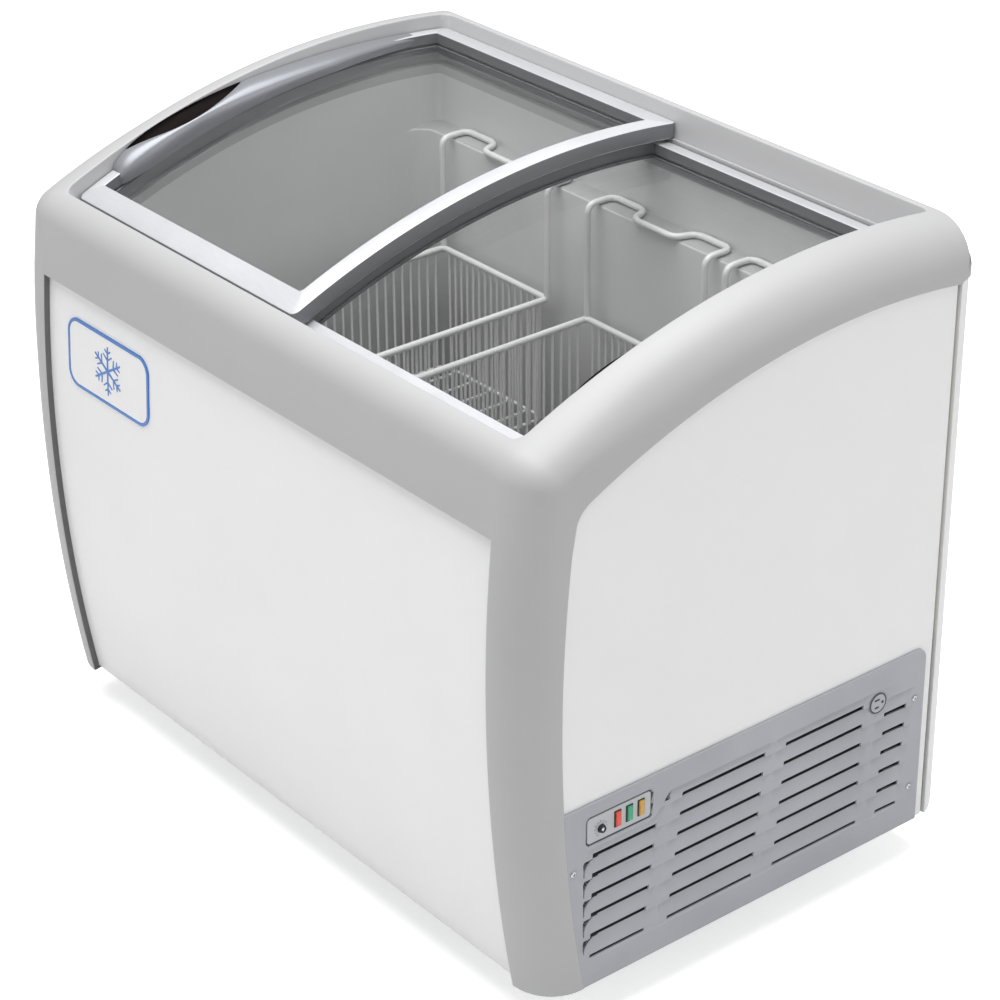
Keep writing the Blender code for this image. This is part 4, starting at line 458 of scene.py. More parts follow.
def sweep_round(skin, path, radius, closed, sides=8):
    """A round wire along a path."""
    path = [Vector(p) for p in path]
    count = len(path)
    rings = []
    normal = None
    for i, point in enumerate(path):
        if closed:
            ahead, behind = path[(i + 1) % count], path[i - 1]
        else:
            ahead, behind = path[min(i + 1, count - 1)], path[max(i - 1, 0)]
        along = (ahead - behind).normalized()
        if normal is None:
            normal = along.orthogonal().normalized()
        normal = (normal - along * normal.dot(along)).normalized()
        side = along.cross(normal)
        rings.append([point + (normal * c + side * s) * radius for c, s in circle(sides)])
    if closed:
        made = skin.grid(rings, closed=True)
        shift = closest_shift(rings[-1], rings[0])
        skin.bridge(made[-1], made[0][shift:] + made[0][:shift], True)
    else:
        skin.tube(rings)


def closest_shift(ring, other):
    """How far to turn the other ring so that its points meet this ring's points."""
    count = len(ring)
    lengths = []
    for shift in range(count):
        lengths.append(sum((ring[i] - other[(i + shift) % count]).length for i in range(count)))
    return lengths.index(min(lengths))


def rounded_path(corners, radius, steps):
    """The corners of an open path, each inner one replaced with a short curve."""
    corners = [Vector(c) for c in corners]
    path = [corners[0]]
    for a, b, c in zip(corners, corners[1:], corners[2:]):
        before, after = (a - b).normalized(), (c - b).normalized()
        reach = min(radius, (a - b).length * 0.49, (c - b).length * 0.49)
        path += bezier((b + before * reach, b, b + after * reach), spread(0, 1, steps + 1))
    return path + [corners[-1]]


# Materials


class Nodes:
    """Short ways to add shader nodes to a material."""

    def __init__(self, material):
        material.use_nodes = True
        self.material = material
        self.tree = material.node_tree
        self.shader = self.tree.nodes["Principled BSDF"]

    def feed(self, node, values):
        """Sets a node's inputs, each to a value or to another node's output."""
        for key, value in values.items():
            if isinstance(value, bpy.types.NodeSocket):
                self.tree.links.new(value, node.inputs[key])
            else:
                node.inputs[key].default_value = value

    def add(self, kind, values=(), **settings):
        """Adds a node with its inputs and settings, and returns its outputs."""
        node = self.tree.nodes.new("ShaderNode" + kind)
        for key, value in settings.items():
            setattr(node, key, value)
        self.feed(node, dict(values))
        return node.outputs

    def colour(self):
        """The output that now feeds the base colour."""
        return self.shader.inputs["Base Color"].links[0].from_socket

    def pattern(self, scale, detail=4.0, stretch=(1, 1, 1), kind="TexNoise"):
        """A procedural pattern in the object's own metres, stretched along its axes."""
        where = self.add("TexCoord")["Object"]
        placed = self.add("Mapping", {"Vector": where, "Scale": stretch})["Vector"]
        return self.add(kind, {"Vector": placed, "Scale": scale, "Detail": detail})[0]

    def ramp(self, value, low, high):
        """Maps the middle of a pattern to a range."""
        ends = {"From Min": 0.3, "From Max": 0.7, "To Min": low, "To Max": high}
        return self.add("MapRange", {"Value": value, **ends})["Result"]

    def tint(self, value, colour, dark, light):
        """Colours the middle of a pattern between a darker and a lighter share of a colour."""
        made = self.tree.nodes.new("ShaderNodeValToRGB")
        for spot, position, by in zip(made.color_ramp.elements, (0.3, 0.7), (dark, light)):
            spot.position = position
            spot.color = (*shade(colour, by), 1)
        self.feed(made, {"Fac": value})
        return made.outputs["Color"]

    def bump(self, value, strength, distance):
        return self.add("Bump", {"Height": value, "Strength": strength, "Distance": distance})["Normal"]

    def maths(self, operation, *values):
        return self.add("Math", enumerate(values), operation=operation)[0]


def new_look(name):
    return Nodes(bpy.data.materials.new(name))


def shade(colour, by):
    return tuple(min(max(c * by, 0.0), 1.0) for c in colour)


def solid_look(name, colour, rough, metal=0.0, vary=0.04, grain=900, relief=0.15, blotch=6, coat=0.0):
    """Paint, plastic or metal: uneven colour over a large pattern, and fine gloss and relief."""
    look = new_look(name)
    large = look.pattern(blotch, 3.0)
    fine = look.pattern(grain, 2.0)
    look.feed(look.shader, {
        "Base Color": look.tint(large, colour, 1 - vary, 1 + vary),
        "Roughness": look.ramp(fine, rough * 0.88, rough * 1.12),
        "Normal": look.bump(fine, relief, 0.0004),
        "Metallic": metal,
        "Coat Weight": coat,
    })
    return look.material


def painted_shade_down_look(plain, name, low, high, by):
    """A copy of a look whose colour falls off to a share of itself from one height down to another:
    painted shade that deepens towards the bottom.
    """
    material = plain.copy()
    material.name = name
    look = Nodes(material)
    place = look.add("SeparateXYZ", {"Vector": look.add("NewGeometry")["Position"]})
    ends = {"Value": place["Z"], "From Min": low, "From Max": high, "To Min": by, "To Max": 1.0}
    share = look.add("MapRange", ends, interpolation_type="SMOOTHSTEP")
    scaled = look.add("VectorMath", {0: look.colour(), "Scale": share["Result"]}, operation="SCALE")
    look.feed(look.shader, {"Base Color": scaled["Vector"]})
    return material


def edge_worn_look(name, colour, rough, metal, lighter, grain, relief):
    """As solid_look, with convex edges a little lighter, as handling leaves them."""
    look = Nodes(solid_look(name, colour, rough, metal, 0.05, grain, relief, 9))
    convex = look.add("NewGeometry")["Pointiness"]
    mask = look.add("MapRange", {"Value": convex, "From Min": 0.52, "From Max": 0.62})["Result"]
    worn = {"Factor": mask, "A": look.colour(), "B": (*shade(colour, lighter), 1)}
    look.feed(look.shader, {"Base Color": look.add("Mix", worn, data_type="RGBA")["Result"]})
    return look.material


def brushed_look(name, colour, rough, along, metal=1.0):
    """Metal brushed along one axis: long fine scratches in colour and relief, and a cloudy gloss."""
    look = new_look(name)
    scratch = look.pattern(2600, 4.0, [0.02 if i == along else 1.0 for i in range(3)])
    look.feed(look.shader, {
        "Base Color": look.tint(scratch, colour, 0.93, 1.05),
        "Roughness": look.ramp(look.pattern(18, 3.0), rough * 0.85, rough * 1.15),
        "Normal": look.bump(scratch, 0.10, 0.0003),
        "Metallic": metal,
        "Anisotropic": 0.4,
    })
    return look.material


def zinc_look(name, colour):
    """Galvanised sheet with its crystal pattern."""
    look = new_look(name)
    cells = look.pattern(90, kind="TexVoronoi")
    look.feed(look.shader, {
        "Base Color": look.tint(cells, colour, 0.82, 1.1),
        "Roughness": look.ramp(cells, 0.34, 0.52),
        "Normal": look.bump(look.pattern(700, 3.0), 0.10, 0.0003),
        "Metallic": 0.9,
    })
    return look.material


def glass_look():
    """Clear sheet glass, faintly green and dusty, that lets the light of the room through."""
    look = new_look("lid_glass")
    dust = look.pattern(160, 5.0)
    look.feed(look.shader, {
        "Base Color": (0.95, 0.97, 0.97, 1),
        "IOR": 1.5,
        "Transmission Weight": 1.0,
        "Roughness": look.ramp(dust, 0.0, 0.03),
    })
    clear = look.add("BsdfTransparent", {"Color": (0.975, 0.978, 0.978, 1)})["BSDF"]
    gloss = look.add("BsdfGlossy", {"Roughness": 0.03})["BSDF"]
    power = look.maths("POWER", look.add("LayerWeight")["Facing"], 5.0)
    mirror = look.maths("MULTIPLY_ADD", power, 0.9, 0.045)
    front_only = look.maths("SUBTRACT", 1.0, look.add("NewGeometry")["Backfacing"])
    share = look.maths("MULTIPLY", mirror, front_only)
    pane = look.add("MixShader", {"Fac": share, 1: clear, 2: gloss})["Shader"]
    haze = {"Fac": look.ramp(dust, 0.0, 0.02), 1: pane, 2: look.shader.outputs["BSDF"]}
    look.feed(look.tree.nodes["Material Output"], {"Surface": look.add("MixShader", haze)["Shader"]})
    return look.material


def floor_look():
    """Pale floor paper, lifted towards white where the camera sees it."""
    look = Nodes(solid_look("floor_white", (0.90, 0.90, 0.90), 0.9, vary=0.004, grain=60, relief=0.0))
    seen = look.add("LightPath")["Is Camera Ray"]
    glow = {"Emission Color": (1, 1, 1, 1), "Emission Strength": look.maths("MULTIPLY", seen, 0.55)}
    look.feed(look.shader, glow)
    return look.material


def lens_look(name, colour):
    """An indicator lens: saturated plastic that glows a little all over."""
    look = new_look(name)
    colours = look.tint(look.pattern(500, 2.0), colour, 0.8, 1.1)
    look.feed(look.shader, {
        "Base Color": colours,
        "Emission Color": colours,
        "Emission Strength": 0.20,
        "Roughness": 0.22,
        "Coat Weight": 0.5,
    })
    return look.material


rim_look = solid_look("rim_grey_plastic", (0.45, 0.45, 0.455), 0.42, vary=0.015, grain=1400, relief=0.05)
# Painted shade: dark grey for the posts' inner sides, where the gap beside the front panel lies in shade.
shadow_gap_look = solid_look("post_inner_painted_shade", (0.13, 0.13, 0.13), 0.6)
white_look = solid_look("white_steel", (0.83, 0.83, 0.83), 0.38, 0.0, 0.01, 420, 0.04, coat=0.15)
liner_look = solid_look("liner_grey_steel", (0.66, 0.66, 0.66), 0.42, 0.1, grain=520, relief=0.22)
# Painted shade: a darker grey for the ledges' upward faces, so they stay as dark as the walls under the
# top light.
ledge_painted_shade_look = solid_look("liner_ledge_painted_shade", (0.37, 0.37, 0.37), 0.6, grain=520, relief=0.1)
# Painted shade: the liner's grey darkens towards its floor.
liner_painted_shade_look = painted_shade_down_look(liner_look, "liner_grey_steel_painted_shade", 0.40, 0.62, 0.62)
grille_look = edge_worn_look("grille_grey_plastic", (0.40, 0.41, 0.44), 0.48, 0.0, 1.2, 1600, 0.10)
# Painted shade for the hollows of the grille: the blades' scoops and the pocket round the bezel.
grille_shade_look = solid_look("grille_recess_painted_shade", (0.085, 0.087, 0.095), 0.6, grain=1600)
bezel_look = solid_look("bezel_grey_plastic", (0.50, 0.51, 0.53), 0.38, 0.0, 0.02, 1500, 0.05)
badge_look = solid_look("badge_blue_enamel", (0.03, 0.16, 0.50), 0.25, 0.0, 0.06, 500, 0.05, coat=0.5)
foam_look = solid_look("foam_cream", (0.75, 0.66, 0.45), 0.9, 0.0, 0.12, 350, 0.6, blotch=30)
steel_look = zinc_look("zinc_sheet", (0.56, 0.57, 0.58))
aluminium_x = brushed_look("aluminium_along_x", (0.56, 0.57, 0.59), 0.40, 0, 0.25)
aluminium_y = brushed_look("aluminium_along_y", (0.62, 0.63, 0.65), 0.40, 1, 0.25)
# Painted shade: the frames' brushed metal, darker, for their upright faces.
rail_side_painted_shade_look = brushed_look("rail_side_painted_shade", (0.20, 0.203, 0.215), 0.42, 1, 0.3)
grip_look = solid_look("grip_silver", (0.30, 0.31, 0.335), 0.34, 0.45, 0.02, 900, 0.03)
recess_look = solid_look("dark_red_recess", (0.0035, 0.0008, 0.0008), 0.75, 0.0, 0.3, 1200, 0.15)
recess_look.node_tree.nodes["Principled BSDF"].inputs["Specular IOR Level"].default_value = 0.15
black_look = solid_look("black_plastic", (0.012, 0.010, 0.010), 0.45, 0.0, 0.2, 1500, 0.2)
enamel_look = solid_look("black_enamel", (0.022, 0.022, 0.024), 0.28, 0.0, 0.2, 300, 0.08, coat=0.4)
copper_look = edge_worn_look("copper_pipe", (0.72, 0.34, 0.19), 0.34, 1.0, 1.15, 260, 0.05)
coil_look = solid_look("coil_black", (0.03, 0.03, 0.03), 0.42, 0.3, 0.3, 600, 0.15)
wire_look = solid_look("white_wire_coat", (0.72, 0.72, 0.715), 0.33, 0.0, 0.02, 260, 0.06, coat=0.3)
rubber_look = edge_worn_look("caster_rubber", (0.055, 0.055, 0.058), 0.72, 0.0, 1.8, 500, 0.4)
chrome_look = brushed_look("screw_steel", (0.72, 0.73, 0.75), 0.22, 2)
glass = glass_look()
lens_looks = {
    "red": lens_look("lens_red", (0.62, 0.05, 0.02)),
    "green": lens_look("lens_green", (0.01, 0.30, 0.14)),
    "amber": lens_look("lens_amber", (0.52, 0.27, 0.02)),
}


# Grey outer shell: rim and front posts as one surface, parted at the rim's lower front edge


def shell_rows():
    """(y, z, inward y, inward z, reach in x) along the middle of the shell, front foot to back."""
    rows = []
    for z in spread(BODY_Z, BAND_FRONT_Z + EDGE, 24):
        deep = blend(POST_ROUND, CORNER_DEEP, smoothstep(0.45, 0.66, z))
        rows.append((front_y(z), z, deep, 0.0, POST_ROUND))
    seam = len(rows) - 1
    centre, start, lean = front_corner()
    for t in spread(0.0, 1.0, 19):
        turn = blend(start, lean, t)
        out, up = math.sin(turn), math.cos(turn)
        reach = blend(POST_ROUND, RIM_ROUND, smoothstep(0, 1, t))
        y, z = centre.x - FRONT_ROUND * out, centre.y + FRONT_ROUND * up
        rows.append((y, z, CORNER_DEEP * out, -CORNER_DEEP * up, reach))
    first = len(rows)
    low, high = grown(OPEN_Y, EDGE)
    ys = [low] + spread(low + OPEN_CORNER, high - OPEN_CORNER, 60) + [high, BACK - REAR_EDGE]
    for y in ys:
        turn = math.asin((ARC_Y - y) / ARC_R)
        deep = blend(CORNER_DEEP, RIM_ROUND, smoothstep(-0.29, -0.12, y))
        side = (deep * math.sin(turn), -deep * math.cos(turn))
        share = smoothstep(0.24, BACK, y)
        pull = [blend(a, b, share) for a, b in zip(side, REAR_PULL)]
        rows.append((y, arc_z(y), *pull, RIM_ROUND))
    top = arc_z(BACK) + 0.0006
    for out, down in quarter(REAR_EDGE)[1:]:
        rows.append((BACK - REAR_EDGE + out, top - down, *REAR_PULL, RIM_ROUND))
    bottom = band_z(BACK - REAR_ROUND) + REAR_RISE + EDGE
    for t in spread(0, 1, 5)[1:]:
        fade = 1 - smoothstep(0, 0.75, t)
        z = blend(top - REAR_EDGE, bottom, t)
        rows.append((BACK, z, REAR_PULL[0], REAR_PULL[1] * fade, blend(REAR_ROUND, RIM_ROUND, fade)))
    return rows, seam, first, first + len(ys) - 2


def shell():
    """The shell's faces, and for each the part it belongs to: 0 rim, 1 left post, 2 right post."""
    rows, seam, open_first, open_last = shell_rows()
    skin = Skin()
    parts = []
    bend = turns(1, 0, 11)
    inner = OPEN_X + EDGE
    across = [inner - OPEN_CORNER, 0.30, 0.15]
    grid = []
    for k, (y, z, in_y, in_z, reach) in enumerate(rows):
        edge = POST_X + EDGE if k <= seam else inner
        side = [(HALF_W - reach * (1 - s), y + in_y * (1 - c), z + in_z * (1 - c)) for c, s in bend]
        flat = [-edge] + [-x for x in across] + [0.0] + across[::-1] + [edge]
        line = [(-px, py, pz) for px, py, pz in side] + [(x, y, z) for x in flat] + side[::-1]
        grid.append(skin.row(line))
    width = len(grid[0])
    left = len(bend)  # column of the left inner edge
    right = width - left - 1
    for k in range(len(rows) - 1):
        for c in range(width - 1):
            if left <= c < right and (k < seam or open_first <= k < open_last):
                continue
            a, b = grid[k], grid[k + 1]
            skin.faces.append((a[c], a[c + 1], b[c + 1], b[c]))
            parts.append(0 if k >= seam else (1 if c < left else 2))
    # Rounded corners of the opening
    span_y = grown(OPEN_Y, EDGE)
    for column, sx in ((left, -1), (right, 1)):
        for k, sy in ((open_first, -1), (open_last, 1)):
            mx = sx * (inner - OPEN_CORNER)
            my = span_y[sy > 0] - sy * OPEN_CORNER
            arc = []
            for c, s in turns(0, 1, 7)[1:-1]:
                py = my + sy * OPEN_CORNER * c
                arc.append(skin.add((mx + sx * OPEN_CORNER * s, py, arc_z(py))))
            face = [grid[k][column], grid[k][column - sx], *arc, grid[k - sy][column]]
            skin.faces.append(tuple(face if sx * sy > 0 else reversed(face)))
            parts.append(0)
    # Flat sides
    boundary = side_line()
    cut = max(i for i, (_, z) in enumerate(boundary) if z < BAND_FRONT_Z + EDGE)
    for side, column, post in ((-1, 0, 1), (1, width - 1, 2)):
        edge = [row[column] for row in grid]
        lower = [(y - EDGE, z) if z < SIDE_BEND_Z else (y, z + EDGE) for y, z in boundary]
        lower = skin.row([(side * HALF_W, y, z) for y, z in lower])
        halves = ((edge[: seam + 1], lower[: cut + 1], post), (edge[seam:], lower[cut:], 0))
        for outer, line, part in halves:
            face = outer + line[::-1]
            skin.faces.append(tuple(face if side > 0 else reversed(face)))
            parts.append(part)
    return skin, parts


def walk_boundary(bm):
    """Ordered rings of (vertex, its face) round each open edge, with the surface on the left."""
    ahead = {}
    for edge in bm.edges:
        if len(edge.link_loops) == 1:
            loop = edge.link_loops[0]
            ahead[loop.vert] = (loop.link_loop_next.vert, loop.face)
    rings = []
    while ahead:
        ring, here = [], next(iter(ahead))
        while here in ahead:
            following, face = ahead.pop(here)
            ring.append((here, face))
            here = following
        rings.append(ring)
    return rings


def lip(bm, ring, profile, layer=None, facing=None):
    """Rolls an open edge over: profile is (outward, inward) offsets from the edge.

    With facing, the offsets stay in the plane that looks that way, and the walls go straight in.
    """
    verts = [vert for vert, _ in ring]
    base = []
    for i, vert in enumerate(verts):
        normal = vert.normal.copy() if facing is None else facing
        ways = [vert.co - verts[i - 1].co, verts[(i + 1) % len(verts)].co - vert.co]
        if facing is not None:
            ways = [way - normal * way.dot(normal) for way in ways]
        outs = [way.normalized().cross(normal) for way in ways]
        out = (outs[0] + outs[1]).normalized()
        if facing is None:
            out /= max(out.dot(outs[1].normalized()), 0.6)
        base.append((vert.co.copy(), out, normal))
    last = verts
    for across, down in profile:
        made = [bm.verts.new(place + across * out - normal * down) for place, out, normal in base]
        for i, (_, beside) in enumerate(ring):
            j = (i + 1) % len(ring)
            face = bm.faces.new((last[j], last[i], made[i], made[j]))
            if layer:
                face[layer] = beside[layer]
        last = made


def outer_shell():
    """The rim and the two posts, cut from one surface so that no seam shows."""
    skin, parts = shell()
    bm, layer = skin.welded(parts)
    drop_loose(bm)
    bmesh.ops.recalc_face_normals(bm, faces=bm.faces)
    top = max(bm.faces, key=lambda f: f.calc_center_median().z)
    if top.normal.z < 0:
        bmesh.ops.reverse_faces(bm, faces=bm.faces)
    bm.normal_update()
    for ring in walk_boundary(bm):
        inside = all(abs(v.co.x) < OPEN_X + 0.01 and v.co.z > 0.74 for v, _ in ring)
        wall = [(EDGE, 0.030), (EDGE, UPPER_LEVEL)] if inside else [(EDGE, 0.012)]
        lip(bm, ring, quarter(EDGE, 3)[1:] + wall, layer)
    bm.normal_update()
    whole = made_mesh("whole_shell", bm)
    whole.shade_smooth()
    whole.set_sharp_from_angle(angle=math.radians(40))
    normals = [tuple(n.vector) for n in whole.corner_normals]
    parts = [d.value for d in whole.attributes["part"].data]
    names = (
        ("rim_shell", "top_frame"),
        ("left_post_shell", "corner_post_left"),
        ("right_post_shell", "corner_post_right"),
    )
    for number, (name, stands_for) in enumerate(names):
        polygons = [p for p in whole.polygons if parts[p.index] == number]
        used = sorted({v for p in polygons for v in p.vertices})
        places = [tuple(whole.vertices[i].co) for i in used]
        new_index = {old: i for i, old in enumerate(used)}
        mesh = bpy.data.meshes.new(name)
        mesh.from_pydata(places, [], [[new_index[v] for v in p.vertices] for p in polygons])
        finished(name, mesh, rim_look, stands_for=(stands_for,), angle=40)
        mesh.materials.append(shadow_gap_look)
        # The posts' inner faces beside the panel take the dark grey: painted shade in the gap.
        for face in mesh.polygons:
            x, _, z = face.center
            beside_panel = number and abs(abs(x) - POST_X) < 0.0006 and z < BAND_FRONT_Z
            face.material_index = 1 if beside_panel and abs(face.normal.x) > 0.8 else 0
        mesh.normals_split_custom_set([normals[i] for p in polygons for i in p.loop_indices])
    bpy.data.meshes.remove(whole)


def lid_well():
    """The recess the lids slide in: two ledges that step down from the opening to the liner's mouth."""
    shares = spread(0.1, 0.9, 5), spread(0.04, 0.96, 30)
    opening = loop_points((-OPEN_X, OPEN_X), OPEN_Y, OPEN_CORNER - EDGE, *shares)
    lower = loop_points((-OPEN_X, OPEN_X), LOWER_EDGE_Y, 0.010, *shares)
    mouth = loop_points((-MOUTH_X, MOUTH_X), MOUTH_Y, MOUTH_CORNER, *shares)
    steps = (
        (opening, UPPER_LEVEL),
        (lower, UPPER_LEVEL),
        (lower, LOWER_LEVEL),
        (mouth, LOWER_LEVEL),
        (mouth, WELL_DEPTH),
    )
    Skin().sheet([on_arc(*step) for step in steps], closed=True).piece("lid_well", rim_look)


# White panels and rear posts


def front_panel():
    """The bowed front sheet, set back between the posts, with its edges folded in."""
    columns = spread(-POST_X, POST_X, 9)
    foot = front_y(BODY_Z) + PANEL_SINK
    line = [(foot + 0.016, BODY_Z + 0.0005)]
    line += [(foot + HEM * (1 - c), BODY_Z + HEM - 0.0035 * s) for c, s in turns(1, 0, 5)[:-1]]
    levels = spread(BODY_Z + HEM, BAND_FRONT_Z + LAP, 26)
    line += [(front_y(z) + PANEL_SINK, z) for z in levels]
    rows = [[(x, y, z) for x in columns] for y, z in line]
    Skin().sheet(rows).piece("front_sheet", white_look, stands_for=("front_panel",), outward=False)


def side_sheet(side, word):
    """A flat side panel behind the grey shell, open where the grille sits."""
    low = BODY_Z + 0.0006
    line = [(y, z) for y, z in side_line() if y < GROOVE_Y]
    outline = [(y - LAP if z < SIDE_BEND_Z else y, z + LAP) for y, z in line]
    outline += [(GROOVE_Y, band_z(GROOVE_Y) + LAP), (GROOVE_Y, low)]
    start = outline[0][0]
    if side > 0:
        top, r = GRILLE_TOP - 0.002, GRILLE_ROUND
        start = GRILLE_BACK - 0.002
        outline = [(y, z) for y, z in outline if z > top or y > start]
        outline.append((start, low))
        outline += [(start - r + r * c, top - r + r * s) for c, s in turns(0, 1, 7)]
        outline.append((post_edge_y(top) - LAP, top))
    skin = Skin()
    skin.faces.append(tuple(skin.row(side_ring(outline, side * SIDE_X))))
    hem = [SIDE_X - 0.003 + 0.003 * c for c, _ in turns(0, 1, 4)] + [SIDE_X - 0.016]
    skin.sheet([[(side * x, y, low) for y in (start, GROOVE_Y)] for x in hem])
    skin.piece(f"side_sheet_{word}", white_look, stands_for=(f"side_panel_{word}",))


def rear_post(side, word):
    """A white corner post: a groove along the side panel, a ridge and a face that leans back."""
    g, ridge = GROOVE_Y, 0.0016
    section = [(g, SIDE_X - 0.012), (g + 0.0034, SIDE_X - 0.0060), (g + 0.0046, SIDE_X + 0.0010)]
    for t in spread(0.4, math.pi / 2, 5):
        section.append((g + 0.0062 - ridge * math.cos(t), HALF_W - ridge + ridge * math.sin(t)))
    section += [(g + 0.0110, HALF_W - 0.0002), (g + 0.0128, HALF_W - 0.0009)]
    section += [(BACK - 0.0030, HALF_W - 0.0042), (BACK - 0.0006, HALF_W - 0.0062)]
    section += [(BACK, HALF_W - 0.0090), (BACK, 0.482), (BACK - 0.002, REAR_IN), (BACK - 0.014, REAR_IN)]
    rings = []
    foot = BODY_Z + 0.0160
    for z in (BODY_Z + 0.0005, BODY_Z + 0.0060, BODY_Z + 0.0120, foot, 0.3, 0.6, band_z(BACK) + 0.012):
        under = max(foot - z, 0.0)
        limit = BACK - under**2 * 60 - under * 0.12
        rings.append([(side * x, min(y, limit), z) for y, x in section])
    Skin().tube(rings).piece(f"rear_trim_{word}", white_look, stands_for=(f"rear_post_{word}",), angle=24)


def back_sheet():
    """The rear panel: hooded vents over the machine bay and screws along its edges."""
    low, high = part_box("back_panel")
    x = (low[0] + 0.0005, high[0] - 0.0005)
    z = (low[2], band_z(BACK) + 0.006)
    y = BACK - 0.0012
    vents = spread(*VENT_Z, 6)
    levels = [z[0]] + [level for vent in vents for level in (vent, vent + VENT_H)] + [z[1]]
    skin = Skin()
    grid = [skin.row([(cx, y, cz) for cx in (x[0], *VENT_X, x[1])]) for cz in levels]
    for k, (a, b) in enumerate(zip(grid, grid[1:])):
        for c in range(3):
            if c != 1 or k % 2 == 0:
                skin.faces.append((a[c + 1], a[c], b[c], b[c + 1]))
    corners = ((x[0], z[0]), (x[1], z[0]), (x[1], z[1]), (x[0], z[1]))
    skin.sheet([[(px, at, pz) for px, pz in corners] for at in (y, y - 0.010)], closed=True)
    skin.piece("back_sheet", white_look, stands_for=("back_panel",), outward=False)
    hoods = Skin()
    for vent in vents:
        rows = []
        for t in spread(0, 1, 6):
            at, up = y - 0.0050 * math.sin(math.pi * t / 2), vent + 0.009 * (1 - t)
            rows.append([(px, at, up) for px in spread(*VENT_X, 9)])
        hoods.sheet(rows)
    hoods.piece("back_vent_blades", white_look, outward=False)
    screws = Skin()
    edge = BACK_SCREW_X
    spots = [(px, pz) for px in (-edge, -0.23, 0.0, 0.23, edge) for pz in (0.075, 0.765)]
    spots += [(px, pz) for pz in (0.24, 0.42, 0.60) for px in (-edge, edge)]
    for px, pz in spots:
        pan_head(screws, (px, y, pz), (0, 1, 0), 0.0011)
    screws.piece("back_screws", chrome_look)


def pan_head(skin, centre, axis, height):
    """A domed screw head with a cross-shaped hollow."""
    turn = Vector(axis).to_track_quat("Z", "Y").to_matrix()
    profile = (  # share of the radius, share of the height, and depth of the star
        (1.0, 0.0, 0.0),
        (1.0, 0.5, 0.0),
        (0.86, 0.85, 0.0),
        (0.62, 1.0, 0.0),
        (0.60, 1.0, 0.55),
        (0.5, 0.35, 0.62),
    )
    rings = []
    for wide, up, star in profile:
        ring = []
        for c, s in circle(24):
            reach = HEAD_R * wide * (1 - star * (1 - math.sqrt(abs(c * c - s * s))))
            ring.append(Vector(centre) + turn @ Vector((reach * c, reach * s, height * up)))
        rings.append(ring)
    skin.tube(rings)


# Liner


def liner():
    """The cabinet's inside: ledges for the hangers, their upward faces painted darker as shade against
    the light from above, and a step over the machine bay.
    """
    shares = spread(0.06, 0.94, 9), spread(0.06, 0.94, 16)
    wall_x = (-MOUTH_X, MOUTH_X)
    skin = Skin()

    def ring(span_y, radius, level):
        return [(x, y, level(y)) for x, y in loop_points(wall_x, span_y, radius, *shares)]

    def well_end(y):
        return arc_z(y, WELL_DEPTH)

    def ledge(y, drop=0.0):
        """Along the sides the ledge climbs from its front level to its rear level."""
        return blend(*LEDGE_Z, float(np.clip((y - WALL_Y[0]) / (WALL_Y[1] - WALL_Y[0]), 0, 1))) - drop

    rings = [ring(MOUTH_Y, MOUTH_CORNER, level) for level in (well_end, ledge)]
    for c, s in turns(0, 1, 5):
        drop = LINER_FOLD * (1 - c)
        span = grown(WALL_Y, LINER_FOLD * (1 - s))
        rings.append(ring(span, LINER_CORNER, lambda y, drop=drop: ledge(y, drop)))
    step_top = STEP_Z + FLOOR_ROUND
    rings.append(ring(WALL_Y, LINER_CORNER, lambda y: step_top))
    skin.sheet(rings, closed=True)
    pit = ((wall_x[0], STEP_X), FLOOR_Z, (1, 0))
    deck = ((STEP_X, wall_x[1]), STEP_Z, (0, 1))
    for span_x, bottom, (low, high) in (pit, deck):
        basin = []
        for c, s in turns(0, 1, 7):
            inset = FLOOR_ROUND * (1 - c)
            x = (span_x[0] + inset * low, span_x[1] - inset * high)
            corner = max(LINER_CORNER - inset, 0.006)
            radii = [corner if side else 0.0005 for side in (low, high, high, low)]
            z = bottom + FLOOR_ROUND * (1 - s)
            basin.append(level_ring(loop_points(x, grown(WALL_Y, -inset), radii, *shares), z))
        if bottom < STEP_Z:
            basin[:0] = [[(px, py, level) for px, py, _ in basin[0]] for level in (step_top, STEP_Z)]
        made = skin.grid(basin, closed=True)
        skin.faces.append(tuple(made[-1]))
    open_side = [abs(x - STEP_X) < 1e-6 and z > STEP_Z - 1e-6 for x, _, z in skin.points]
    skin.faces = [face for face in skin.faces if not all(open_side[i] for i in face)]
    made = skin.piece("liner_shell", liner_painted_shade_look, stands_for=("inner_liner",), outward=False)
    # Upward faces at the ledges take the darker grey: painted shade.
    made.data.materials.append(ledge_painted_shade_look)
    for face in made.data.polygons:
        if abs(face.normal.z) > 0.6 and face.center.z > LEDGE_Z[0] - LINER_FOLD:
            face.material_index = 1


# Lids


